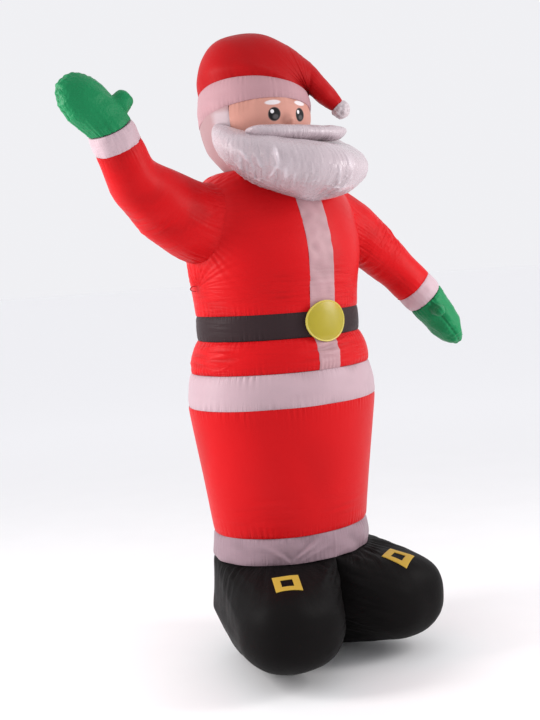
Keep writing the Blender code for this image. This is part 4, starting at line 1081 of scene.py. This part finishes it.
def head_slice(low, high, low_tilt, high_tilt, turn, share, grow=0.0):
    """The head's skin between two sloping planes, found by stepping three times to its height."""
    t = share[:, None]
    points = head_points(turn + 0 * t, mix(low, high, t) + 0 * turn, grow)
    for _ in range(3):
        height = mix(sloped(points, low, low_tilt), sloped(points, high, high_tilt), t)
        points = head_points(turn + 0 * t, height, grow)
    return points


PANEL_THICK = 0.03
NOSE_Z, NOSE_REACH, NOSE_HEIGHT = 2.052, 0.0205, 0.025


def head_panel(start, end, columns, rows):
    """A panel from the collar to the hat band as a thick shell: out along the skin and back 3 cm
    inside it. Also its turns, and the distance of each column from the nearer side seam."""
    turn = np.linspace(start, end, columns)
    share = close_ends(rows)
    outer = head_slice(COLLAR_Z, BAND_Z, LEVEL, BAND_FOOT_TILT, turn, share)
    inner = head_slice(COLLAR_Z, BAND_Z, LEVEL, BAND_FOOT_TILT, turn[::-1], share, -PANEL_THICK)
    side = np.minimum(turn - start, end - turn) * HEAD_RADIUS
    return outer, inner, turn, side


def sew_panel(node, outer, inner, relief, tone, cloth, slot, **marks):
    """Moves a panel's outer side away from the head's upright axis and closes it with the inner
    side, whose marks are 0."""
    axis = np.stack([0 * outer[..., 0], HEAD_Y + 0 * outer[..., 0], outer[..., 2]], -1)
    outer = outer + unit(outer - axis) * relief[..., None]
    both = {mark: [np.concatenate([values, 0 * values], 1)] for mark, values in marks.items()}
    mesh = mesh_of(node, [np.concatenate([outer, inner], 1)], fold=[np.concatenate([tone, 0 * tone], 1)], **both)
    finish_piece(mesh, node, cloth)


def make_head(sizes, cloths):
    """The face and hair panels and the hat's band: each is pulled in by exp(-d/8 mm) at its seams,
    with gathers beside them and soft dents. The nose is a bump height exp(-(distance/2 cm)^2)."""
    edge = FACE_HALF_ANGLE
    outer, inner, turn, side = head_panel(-edge, edge, 200, 120)
    top = sloped(outer, BAND_Z, BAND_FOOT_TILT) - outer[..., 2]
    nose = np.linalg.norm((outer - np.array([0.0, 0.0, NOSE_Z])) * (1.0, 0.0, 1.0), axis=-1)
    relief = -0.003 * beside(side, 0.008)[None] - 0.0025 * beside(top, 0.008)
    relief = relief + 0.0004 * gathers(turn * 3, 14, 30, 601)[None] * beside(top, 0.02)
    relief += 0.0008 * ripples(outer, 0.09, 602)
    relief += 0.0010 * sharp_folds(outer, (0.05, 0.05, 0.08), 603) * beside(side, 0.05)[None]
    relief += NOSE_HEIGHT * bell(nose, NOSE_REACH)
    tone = np.where(nose < 0.06, 0, relief / DEEP_FOLD)
    sew_panel("face", outer, inner, relief, tone, cloths["face"], "skin_nylon")

    outer, inner, turn, side = head_panel(edge, 2 * math.pi - edge, 420, 100)
    foot = outer[..., 2] - COLLAR_Z
    relief = -0.003 * beside(side, 0.008)[None] - 0.004 * beside(foot, 0.009)
    relief = relief + 0.0012 * gathers(turn, 40, 90, 611)[None] * beside(foot, 0.035, 0.005)
    relief += 0.0012 * ripples(outer, (0.10, 0.10, 0.16), 612)
    sew_panel("hair", outer, inner, relief, relief / DEEP_FOLD, cloths["hair"], "white_nylon",
              gather=beside(foot, 0.03), slack=np.full(foot.shape, 0.1))

    turn, share = round_turns(480), close_ends(56)
    band = head_slice(BAND_Z, CROWN_Z, BAND_FOOT_TILT, HAT_TILT, turn, share, 0.001)
    near = np.minimum(share, 1 - share)[:, None] * (band[-1] - band[0])[None, :, 2]
    relief = 0.002 * 4 * (share * (1 - share))[:, None] - 0.0010 * beside(near, 0.006)
    relief = relief + 0.0005 * gathers(turn, 40, 90, 621)[None] * beside(near, 0.022, 0.004)
    relief += 0.0008 * ripples(band, (0.14, 0.14, 0.07), 622)
    # The band's fold tone sits 0.2 lower, so the whole band takes a little painted shade and less painted highlight.
    tone = [relief / DEEP_FOLD - 0.2]
    mesh = mesh_of("hat_band", [push(band, relief)], fold=tone, gather=[0.5 * beside(near, 0.012)])
    finish_piece(mesh, "hat_band", cloths["hat_band"])


def hat_spots(out, up, aside=0.0):
    """Points given outwards and up in the hat's own upright plane, and sideways from it."""
    out, up, aside = np.broadcast_arrays(np.asarray(out, float), up, aside)
    ahead = np.array([math.sin(HAT_TURN), -math.cos(HAT_TURN), 0.0])
    side = np.array([math.cos(HAT_TURN), math.sin(HAT_TURN), 0.0])
    return (np.array([0.0, HEAD_Y, CROWN_Z]) + out[..., None] * ahead + aside[..., None] * side
            + up[..., None] * UP)


CROWN_FOLD = ((0.213, -0.004), (0.223, 0.004))
CROWN_OUTLINE = ((-0.222, 0.075), (-0.197, 0.155), (-0.140, 0.222), (-0.040, 0.252),
                 (0.060, 0.243), (0.150, 0.197), (0.235, 0.129))
CROWN_HALF_DEPTHS = (0.216, 0.200, 0.180, 0.156, 0.130, 0.103, 0.074)
TAIL_END, TAIL_END_RADIUS, POMPON_RADIUS = (0.3305, -0.0485), 0.029, 0.036


def crown_stations(turn):
    """Closed rings of the hat's crown: its foot on the head, then ovals from the outline to the
    fold, half width depth sin(turn), leaning less and less with the band."""
    stations = [head_slice(CROWN_Z, CROWN_Z, HAT_TILT, HAT_TILT, HAT_TURN + turn, np.zeros(1))[0]]
    slope = HAT_TILT[0] * math.cos(HAT_TURN) + HAT_TILT[1] * math.sin(HAT_TURN)
    count = len(CROWN_OUTLINE)
    for k, ((out, up), depth) in enumerate(zip(CROWN_OUTLINE, CROWN_HALF_DEPTHS)):
        near = [mix(a, b, k / (count - 1)) for a, b in zip(*CROWN_FOLD)]
        aside, share = depth * np.sin(turn), (1 + np.cos(turn)) / 2
        lean = slope * (1 - (k + 1) / (count + 1)) * aside
        stations.append(hat_spots(mix(out, near[0], share), mix(up, near[1], share) + lean, aside))
    return np.array(stations)


def make_hat(sizes, cloths):
    """The crown, smooth through its stations, with rays sin(n fan) that fade from the fold, the
    tail, a cone from the crown's last ring with a slight bow, and the pompon, a gathered ball."""
    rows, turn = 190, round_turns(300)
    stations = crown_stations(turn)
    crown = smooth(stations, rows)
    fan = np.linspace(0, 1, rows)[:, None]
    away = np.linalg.norm(crown - hat_spots(*CROWN_FOLD[1]), axis=-1)
    foot = np.abs(crown[..., 2] - sloped(crown, CROWN_Z, HAT_TILT))
    phases = np.random.default_rng(641).uniform(0, 6.28, 5)
    rays = sum(np.sin(2 * np.pi * n * fan + p) for n, p in zip((7, 11, 16, 23, 31), phases)) / 1.6
    relief = 0.0014 * rays * bell(away, 0.15) * np.clip(away / 0.03, 0, 1) * ease(fan / 0.3)
    relief = relief - 0.0015 * beside(foot, 0.008)
    relief += 0.0004 * gathers(turn, 30, 70, 642)[None] * beside(foot, 0.02)
    relief += 0.0013 * ripples(crown, (0.17, 0.17, 0.17), 643) * (1 - beside(away, 0.05))
    relief *= np.clip(away / 0.02, 0, 1) * ease((1 - fan) / 0.10)
    sew("hat_crown", crown, relief, cloths["hat"], "red_nylon", slack=1.2 * bell(away, 0.12))

    seam = stations[-1]
    middle, end = seam.mean(0), hat_spots(*TAIL_END)
    way = unit(end - middle)
    s = np.linspace(0, 1, 110)[:, None, None]
    out = seam - middle
    last = end + unit(out - (out @ way)[:, None] * way) * TAIL_END_RADIUS
    tail = mix(seam[None], last[None], s)
    tail = tail + unit(tail - mix(middle, end, s)) * (0.016 * s * (1 - s))
    run = s[..., 0]
    relief = -0.002 * beside(1 - run, 0.04) + 0.0006 * gathers(turn, 14, 34, 651)[None] * beside(run, 0.3)
    relief += 0.0010 * ripples(tail, 0.08, 652) + 0.0007 * sharp_folds(tail, 0.08, 653)
    relief *= ease(run / 0.12)
    sew("hat_tail", tail, relief, cloths["hat"], "red_nylon", gather=0.4 * beside(run, 0.35))

    sunk, turn = TAIL_END_RADIUS / POMPON_RADIUS, round_turns(120)
    lift = np.linspace(-math.acos(sunk), math.pi / 2, 70)
    centres = end + way * (POMPON_RADIUS * (math.sqrt(1 - sunk ** 2) + np.sin(lift)))[:, None]
    ring = POMPON_RADIUS * np.cos(lift)
    pompon = hoops(centres, np.tile(way, (70, 1)), ring, ring, turn)
    share, wide = ((lift - lift[0]) / (lift[-1] - lift[0]))[:, None], np.cos(lift)[:, None]
    relief = 0.0016 * gathers(turn, 9, 20, 661)[None] * beside(share, 0.35) * wide
    relief = relief + 0.0011 * ripples(pompon, 0.022, 662) * wide
    sew("hat_pompon", pompon, relief, cloths["pompon"], "white_nylon", deep=0.002, gather=0.5)


# Beard and moustache

# The beard's roll, at the middle of the chin and at its two ends.
BEARD_HALF_ANGLE, BEARD_HALF_RUN = math.radians(80), 0.62
BEARD_REACH, BEARD_HALF_DEPTH, BEARD_HALF_HEIGHT = (0.290, 0.216), (0.222, 0.048), (0.112, 0.050)
BEARD_Z, BEARD_RISE, BEARD_LEAN = 1.848, 0.190, 0.016
# In metres along the roll and metres up: start, end, width, height.
BEARD_CREASES = (
    ((-0.218, 1.925), (-0.206, 1.855), 0.0070, 0.0080), ((-0.206, 1.862), (-0.242, 1.815), 0.0070, 0.0070),
    ((-0.185, 1.850), (-0.180, 1.795), 0.0055, 0.0060), ((-0.285, 1.905), (-0.262, 1.845), 0.0060, 0.0060),
    ((-0.345, 1.930), (-0.305, 1.870), 0.0070, 0.0065), ((-0.155, 1.835), (-0.150, 1.785), 0.0055, 0.0045),
    ((-0.010, 1.850), (0.010, 1.775), 0.0060, 0.0060), ((0.045, 1.870), (0.050, 1.790), 0.0055, 0.0050),
)
MOUSTACHE_HALF_LENGTH, MOUSTACHE_Y, MOUSTACHE_Z = 0.226, -0.240, 1.992
MOUSTACHE_BACK, MOUSTACHE_FRONT, MOUSTACHE_UNDER, MOUSTACHE_OVER = 0.088, 0.058, 0.032, 0.027


def make_beard(sizes, cloths):
    """The beard, a roll of ovals carried round the chin, thick in the middle and rounded off at
    both ends: upright ripples sin(run) low on its front, sharp folds in patches, and two crumpled
    places with creases."""
    share = np.linspace(-1, 1, 260)[:, None]
    toward = np.abs(share)
    angle = BEARD_HALF_ANGLE * share
    z = BEARD_Z + BEARD_RISE * toward ** 2.2 - BEARD_LEAN * np.sin(np.pi * share)
    round_off = rounded(toward, 8)
    half_depth = mix(*BEARD_HALF_DEPTH, toward ** 1.6) * round_off
    half_height = mix(*BEARD_HALF_HEIGHT, toward ** 2) * round_off
    phi = round_turns(220)
    out = np.stack([np.sin(angle), -np.cos(angle), 0 * angle], -1)
    middle = np.stack([0 * z, HEAD_Y + 0 * z, z], -1) + out * mix(*BEARD_REACH, toward ** 1.5)[..., None]
    beard = middle + out * (half_depth * np.cos(phi))[..., None] + UP * (half_height * np.sin(phi))[..., None]
    run = share * BEARD_HALF_RUN
    low, front = np.clip(0.60 - 0.75 * np.sin(phi), 0, 1), np.clip(np.cos(phi) + 0.45, 0, 1)
    phases = np.random.default_rng(701).uniform(0, 6.28, 3)
    upright = sum(
        np.sin(2 * np.pi * run / size + p + 1.2 * ripples(beard, 0.14, 702 + k))
        for k, (size, p) in enumerate(zip((0.017, 0.026, 0.041), phases))) / 1.7
    patches = np.clip(0.25 + 0.75 * ripples(beard, (0.12, 0.12, 0.16), 706), 0, 1)
    crumpled = low * front * np.clip(bell(share + 0.50, 0.17) + bell(share - 0.03, 0.08), 0, 1)
    relief = 0.0015 * upright * low * front * patches
    relief += 0.0030 * sharp_folds(beard, (0.036, 0.036, 0.10), 707) * low * front * patches
    relief += 0.0050 * sharp_folds(beard, (0.050, 0.050, 0.14), 717) * crumpled
    relief += front * creases(np.stack(np.broadcast_arrays(run, beard[..., 2]), -1), BEARD_CREASES)
    relief += 0.0012 * ripples(beard, (0.12, 0.12, 0.14), 708)
    relief *= round_off
    sew("beard", beard, relief, cloths["beard"], "white_nylon", deep=0.005,
        slack=(0.30 + 0.5 * patches * low) * front + 1.2 * crumpled)


def make_moustache(sizes, cloths):
    """The moustache, a level roll of ovals bent back by 3.8 cm s^2, with blunt slanted ends
    (1 - s^8)^0.6 and short ripples sin(run) on its lower half."""
    share = np.sin(np.linspace(-np.pi / 2, np.pi / 2, 150))[:, None]
    toward = np.abs(share)
    middle = np.stack([
        MOUSTACHE_HALF_LENGTH * share, MOUSTACHE_Y + 0.038 * share ** 2, MOUSTACHE_Z + 0.003 * share ** 2], -1)
    taper, blunt = rounded(toward, 5), np.clip(1 - toward ** 8, 0, 1) ** 0.6
    phi = round_turns(120)
    back = taper * np.where(np.cos(phi) > 0, MOUSTACHE_BACK, MOUSTACHE_FRONT) * np.cos(phi)
    rise = blunt * np.where(np.sin(phi) < 0, MOUSTACHE_UNDER, MOUSTACHE_OVER) * np.sin(phi)
    roll = middle + np.stack([0 * back, back, rise], -1)
    roll[..., 0] += np.sign(share) * toward ** 5 * 0.026 * blunt * np.sin(phi)
    bands = np.sin(2 * np.pi * share * 0.232 / 0.031 + 2.0 * ripples(roll, 0.08, 711))
    relief = 0.0006 * bands * np.clip(0.3 - np.sin(phi), 0, 1)
    relief = (relief + 0.0009 * ripples(roll, (0.10, 0.06, 0.04), 712)) * taper
    sew("moustache", roll, relief, cloths["beard"], "white_nylon", slack=0.5)


# Small trim

BUCKLE_CLEAR = 0.016  # how far the disc's oval lies outside the belt's seams
BUCKLE_ROWS = 30


def make_belt_buckle(sizes, cloths):
    """A disc of see-through film, bowed to the belt, domed by 10 mm - 5.8 mm s^3, with a welded rim."""
    turn = round_turns(96)
    rim_share, rim_lift = [0.95, 0.97, 0.985, 1.0, 1.0, 0.985], [0.0048, 0.0056, 0.0052, 0.0036, 0.0012, 0.0]
    share = np.concatenate([
        np.linspace(0.0, 0.93, BUCKLE_ROWS), rim_share, np.linspace(0.95, 0.0, BUCKLE_ROWS)])[:, None]
    lift = np.concatenate([
        0.0100 - 0.0058 * np.linspace(0, 1, BUCKLE_ROWS) ** 3, rim_lift, np.zeros(BUCKLE_ROWS)])[:, None]
    x = BUCKLE_HALF_WIDTH * share * np.sin(turn)
    front = -(BELT[1] + BUCKLE_CLEAR) * np.sqrt(1 - (x / (BELT[0] + BUCKLE_CLEAR)) ** 2)
    points = np.stack([x, front - 0.0004 - lift, BUCKLE_Z + BUCKLE_HALF_HEIGHT * share * np.cos(turn)], -1)
    finish_piece(mesh_of("belt_buckle", [points]), "belt_buckle", cloths["yellow"])


TIE_MIDDLE, TIE_HALF_SIZE, WEBBING_HALF_SIZE = (0.345, 0.050, 1.431), (0.0175, 0.0095), (0.0035, 0.0011)


def make_tie_loops(sizes, cloths):
    """A flat loop of webbing at each side of the coat: a bar carried along half an oval, its
    section sign(cos) |cos|^0.5 wide."""
    t = np.linspace(-0.25, math.pi + 0.25, 60)
    path = np.stack([
        TIE_MIDDLE[0] + TIE_HALF_SIZE[0] * np.sin(t), np.full(60, TIE_MIDDLE[1]),
        TIE_MIDDLE[2] + TIE_HALF_SIZE[1] * np.cos(t)], -1)
    turn, aside = round_turns(20), np.array([0.0, 1.0, 0.0])
    lift = np.cross(unit(np.gradient(path, axis=0)), aside)[:, None]
    wide = WEBBING_HALF_SIZE[0] * np.sign(np.cos(turn)) * np.abs(np.cos(turn)) ** 0.5
    thick = WEBBING_HALF_SIZE[1] * np.sin(turn)
    for side, sign in SIDES:
        points = path[:, None] + aside * wide[None, :, None] + lift * thick[None, :, None]
        points[..., 0] *= sign
        node = side + "_tie_loop"
        finish_piece(mesh_of(node, [points]), node, cloths["webbing"])


# Materials

def film(colour):
    """Clear yellow film: the belt shows through it, its rim is more opaque and painted lighter as a highlight, and
    its dome catches light.
    """
    finish = Finish("clear_yellow_film", colour, 0.7)
    spot, (x, _, z) = finish.places()
    far = (((x - AXIS[0]) / BUCKLE_HALF_WIDTH) ** 2.0 + ((z - BUCKLE_Z) / BUCKLE_HALF_HEIGHT) ** 2.0) ** 0.5
    rim = far.step(0.925, 0.95)
    wave = finish.noise(spot, 26.0, 2.0)
    base = finish.blend_colours(wave, tint(colour, 0.92), tint(colour, 1.05))
    # Painted highlight: the rim's colour turns a pale yellow.
    base = finish.blend_colours(rim * 0.7, base, (0.74, 0.62, 0.10))
    finish.set(
        Base_Color=base, Alpha=rim * 0.12 + 0.58, Roughness=wave * 0.1 + 0.28, Normal=finish.bump(wave, 0.25, 0.003))
    finish.shader.inputs["Specular IOR Level"].default_value = 0.5
    return finish.material


def all_cloths(colours):
    """Every cloth of the figure, by the piece it is cut for."""
    red, white, black = tuple(colours.red), tuple(colours.white), tuple(colours.black)
    return {
        "red": nylon("red_nylon_cloth", red, gloss=0.10, sheen=0.012),
        # Hat: the red darkened to 0.72, painted shade over the whole hat, which faces up into the bright sky.
        "hat": nylon("hat_red_nylon", tint(red, 0.72), 0.50, gloss=0.10, sheen=0.02),
        # Coat band: the white cloth with its painted pink glow of red light from inside.
        "white": nylon("white_nylon_cloth", white, sheen=0.06),
        # Hem: a darker, duller copy of the white cloth, painted shade for the light that falls off low down by the
        # floor.
        "hem": nylon("hem_nylon", (0.305, 0.207, 0.240), sheen=0.06),
        # Plackets: a pinker copy of the white cloth, painted red light glowing through from inside the figure.
        "placket": nylon("placket_nylon", (0.465, 0.272, 0.294), 0.38, 0.8),
        # Cuffs: a lighter, less pink copy of the white cloth, painted light.
        "cuff": nylon("cuff_nylon", tint(white, 1.14, 0.10)),
        # Hair: a darker, pinker copy of the white cloth, painted shade and painted red light glowing through from
        # inside.
        "hair": nylon("hair_nylon", (0.385, 0.238, 0.248), 0.5, print_over=sideburns),
        # Hat band: a darker, pinker copy of the white cloth, painted shade and painted red light glowing through from
        # inside.
        "hat_band": nylon("hat_band_nylon", (0.462, 0.262, 0.288), 0.5),
        "pompon": nylon("pompon_nylon", (0.58, 0.51, 0.53), 0.4),
        # Beard: the strong ridge factor 2.1 paints bright glints on the crinkle ridges, a painted highlight.
        "beard": nylon("beard_nylon", (0.520, 0.430, 0.462), 0.28, 1.6, gloss=0.55, crimp=1.7, ridge_highlight=2.1),
        "belt": nylon("belt_black_nylon", (0.032, 0.019, 0.021), 0.46, shadow=0.8, gloss=0.08),
        "boot": nylon("boot_black_nylon", black, 0.50, shadow=0.8, sheen=0.0, gloss=0.05),
        "green": nylon("green_nylon_cloth", tuple(colours.green), 0.42, mapped=False, shadow=0.62),
        "face": nylon("face_nylon", tuple(colours.skin), 0.5, 0.6, print_over=printed_eyes, gloss=0.12, sheen=0.02),
        "gold": nylon("gold_cloth", tuple(colours.gold), 0.5, 0.7),
        "webbing": nylon("red_webbing", tint(red, 0.45), 0.6, 0.5),
        "yellow": film(tuple(colours.yellow)),
    }


CLOTHS = {}


def cloths_for(context):
    """The cloths, made once from the colours in the panel."""
    if not CLOTHS:
        CLOTHS.update(all_cloths(context.scene.cloth_colours))
    return CLOTHS


# Stage

FLOOR_RADIUS, FLOOR_ROWS, FLOOR_COLUMNS = 60, 24, 96
LAMP_COLOUR, AIM_Z = (1.0, 0.97, 0.96), 1.25
# For each lamp: metres to the camera's right, metres towards the camera, metres up, its panel's
# width and height, watts.
LAMPS = {
    "left_softbox": (-2.8, 0.7, 2.05, 0.9, 1.8, 74),
    "right_softbox": (2.8, 0.5, 2.05, 0.9, 1.6, 46),
}
CAMERA_AZIMUTH, CAMERA_ROLL = math.radians(-36.5), math.radians(3.7)
CAMERA_DISTANCE, CAMERA_Z, LENS, SHIFT = 4.4, 1.54, 56.1, (-3.7 / 720, -105.2 / 720)


def make_stage():
    """A pale round floor, radius 60 s^2, soft side lights and the camera at the photo's angle."""
    scene = bpy.context.scene
    t, turn = np.linspace(0.001, 1, FLOOR_ROWS)[:, None], round_turns(FLOOR_COLUMNS)
    far = FLOOR_RADIUS * t ** 2
    points = np.stack([far * np.sin(turn), far * np.cos(turn), -0.0006 + 0 * t * turn], -1)
    number = np.arange(FLOOR_ROWS * FLOOR_COLUMNS).reshape(FLOOR_ROWS, FLOOR_COLUMNS)
    a, b = number[:-1], np.roll(number, -1, 1)[:-1]
    c, d = np.roll(number, -1, 1)[1:], number[1:]
    quads = np.stack([a, d, c, b], -1).reshape(-1, 4).tolist()
    mesh = bpy.data.meshes.new("studio_floor")
    mesh.from_pydata(points.reshape(-1, 3).tolist(), [], quads + [number[0][::-1].tolist()])
    floor = bpy.data.objects.new("studio_floor", mesh)
    scene.collection.objects.link(floor)
    finish = Finish("pale_floor", (0.9, 0.9, 0.9))
    spot, (x, y, _) = finish.places()
    grain = finish.noise(spot, 3.0, 3.0)
    near = finish.blend_colours(grain, (0.84, 0.84, 0.845), (0.88, 0.88, 0.885))
    base = finish.blend_colours(((x * x + y * y) ** 0.5).step(1.2, 7.0), near, (0.99, 0.99, 1.0))
    finish.set(Base_Color=base, Roughness=grain * 0.1 + 0.75)
    finish.shader.inputs["Specular IOR Level"].default_value = 0.1
    mesh.materials.append(finish.material)

    world = bpy.data.worlds.new("studio_air")
    world.use_nodes = True
    air = world.node_tree.nodes["Background"]
    air.inputs[0].default_value = (0.97, 0.97, 1.0, 1.0)
    air.inputs[1].default_value = 0.90
    scene.world = world
    scene.view_settings.view_transform = "Standard"

    up = Vector((0, 0, 1))
    back = Vector((math.sin(CAMERA_AZIMUTH), -math.cos(CAMERA_AZIMUTH), 0.0))
    right = Vector((math.cos(CAMERA_AZIMUTH), math.sin(CAMERA_AZIMUTH), 0.0))
    aim = Vector((AXIS[0], AXIS[1], AIM_Z))
    for name, (across, ahead, z, width, height, power) in LAMPS.items():
        light = bpy.data.lights.new(name, "AREA")
        light.shape, light.size, light.size_y = "RECTANGLE", width, height
        light.energy, light.color = power, LAMP_COLOUR
        lamp = bpy.data.objects.new(name, light)
        lamp.location = aim + right * across + back * ahead + up * (z - AIM_Z)
        lamp.rotation_euler = (aim - lamp.location).to_track_quat("-Z", "Y").to_euler()
        scene.collection.objects.link(lamp)

    lens = bpy.data.cameras.new("photo_view")
    lens.lens, lens.sensor_width, lens.clip_end = LENS, 36.0, 200.0
    lens.shift_x, lens.shift_y = SHIFT
    camera = bpy.data.objects.new("photo_view", lens)
    top = up * math.cos(CAMERA_ROLL) + right * math.sin(CAMERA_ROLL)
    side = right * math.cos(CAMERA_ROLL) - up * math.sin(CAMERA_ROLL)
    place = Matrix((side, top, back)).transposed().to_4x4()
    place.translation = Vector((AXIS[0], AXIS[1], CAMERA_Z)) + back * CAMERA_DISTANCE
    camera.matrix_world = place
    scene.collection.objects.link(camera)
    scene.camera = camera


class FIGURE_OT_boots(bpy.types.Operator):
    """Wraps both black boots"""
    bl_idname = "figure.boots"
    bl_label = "Boots"

    def execute(self, context):
        make_boots(context.scene.figure_sizes, cloths_for(context))
        return {"FINISHED"}


class FIGURE_OT_boot_buckles(bpy.types.Operator):
    """Lays a gold cloth frame on each boot"""
    bl_idname = "figure.boot_buckles"
    bl_label = "Boot Buckles"

    def execute(self, context):
        make_boot_buckles(context.scene.figure_sizes, cloths_for(context))
        return {"FINISHED"}


class FIGURE_OT_robe(bpy.types.Operator):
    """Stacks the hem, skirt, coat band, waist, belt and chest"""
    bl_idname = "figure.robe"
    bl_label = "Robe and Coat"

    def execute(self, context):
        make_robe(context.scene.figure_sizes, cloths_for(context))
        return {"FINISHED"}


class FIGURE_OT_plackets(bpy.types.Operator):
    """Sews the white strips down the coat"""
    bl_idname = "figure.plackets"
    bl_label = "Plackets"

    def execute(self, context):
        make_plackets(context.scene.figure_sizes, cloths_for(context))
        return {"FINISHED"}


class FIGURE_OT_belt_buckle(bpy.types.Operator):
    """Sets the clear yellow disc on the belt"""
    bl_idname = "figure.belt_buckle"
    bl_label = "Belt Buckle"

    def execute(self, context):
        make_belt_buckle(context.scene.figure_sizes, cloths_for(context))
        return {"FINISHED"}


class FIGURE_OT_tie_loops(bpy.types.Operator):
    """Adds a webbing loop at each side"""
    bl_idname = "figure.tie_loops"
    bl_label = "Tie Loops"

    def execute(self, context):
        make_tie_loops(context.scene.figure_sizes, cloths_for(context))
        return {"FINISHED"}


class FIGURE_OT_arms(bpy.types.Operator):
    """Runs both sleeves out to their cuffs"""
    bl_idname = "figure.arms"
    bl_label = "Sleeves and Cuffs"

    def execute(self, context):
        make_arms(context.scene.figure_sizes, cloths_for(context))
        return {"FINISHED"}


class FIGURE_OT_mittens(bpy.types.Operator):
    """Blows up both green mittens"""
    bl_idname = "figure.mittens"
    bl_label = "Mittens"

    def execute(self, context):
        make_mittens(context.scene.figure_sizes, cloths_for(context))
        return {"FINISHED"}


class FIGURE_OT_head(bpy.types.Operator):
    """Makes the face, the hair and the hat's band"""
    bl_idname = "figure.head"
    bl_label = "Head"

    def execute(self, context):
        make_head(context.scene.figure_sizes, cloths_for(context))
        return {"FINISHED"}


class FIGURE_OT_hat(bpy.types.Operator):
    """Fans the crown and hangs the tail and pompon"""
    bl_idname = "figure.hat"
    bl_label = "Hat"

    def execute(self, context):
        make_hat(context.scene.figure_sizes, cloths_for(context))
        return {"FINISHED"}


class FIGURE_OT_beard(bpy.types.Operator):
    """Rolls the beard and the moustache"""
    bl_idname = "figure.beard"
    bl_label = "Beard and Moustache"

    def execute(self, context):
        make_beard(context.scene.figure_sizes, cloths_for(context))
        make_moustache(context.scene.figure_sizes, cloths_for(context))
        return {"FINISHED"}


class FIGURE_OT_stage(bpy.types.Operator):
    """Sets up floor, lights and camera"""
    bl_idname = "figure.stage"
    bl_label = "Stage"

    def execute(self, context):
        make_stage()
        return {"FINISHED"}


class FIGURE_PT_panel(bpy.types.Panel):
    """Sizes, colours and pieces of the figure"""
    bl_label = "Inflatable Santa"
    bl_idname = "FIGURE_PT_panel"
    bl_space_type = "VIEW_3D"
    bl_region_type = "UI"
    bl_category = "Santa"

    def draw(self, context):
        for group in (context.scene.figure_sizes, context.scene.cloth_colours):
            box = self.layout.box()
            for name in group.__annotations__:
                box.prop(group, name)
        for operator in OPERATORS:
            self.layout.operator(operator.bl_idname)


OPERATORS = [
    FIGURE_OT_boots, FIGURE_OT_boot_buckles, FIGURE_OT_robe, FIGURE_OT_plackets, FIGURE_OT_belt_buckle,
    FIGURE_OT_tie_loops, FIGURE_OT_arms, FIGURE_OT_mittens, FIGURE_OT_head, FIGURE_OT_hat, FIGURE_OT_beard,
    FIGURE_OT_stage]
CLASSES = [FigureSizes, ClothColours, *OPERATORS, FIGURE_PT_panel]


def register():
    """Adds the classes and the scene's sizes and colours."""
    for item in CLASSES:
        bpy.utils.register_class(item)
    bpy.types.Scene.figure_sizes = PointerProperty(type=FigureSizes)
    bpy.types.Scene.cloth_colours = PointerProperty(type=ClothColours)


def unregister():
    """Takes them away again."""
    del bpy.types.Scene.cloth_colours
    del bpy.types.Scene.figure_sizes
    for item in reversed(CLASSES):
        bpy.utils.unregister_class(item)


def main():
    """Builds every piece and the stage."""
    register()
    bpy.ops.figure.boots()
    bpy.ops.figure.boot_buckles()
    bpy.ops.figure.robe()
    bpy.ops.figure.plackets()
    bpy.ops.figure.belt_buckle()
    bpy.ops.figure.tie_loops()
    bpy.ops.figure.arms()
    bpy.ops.figure.mittens()
    bpy.ops.figure.head()
    bpy.ops.figure.hat()
    bpy.ops.figure.beard()
    bpy.ops.figure.stage()


if __name__ == "__main__":
    main()
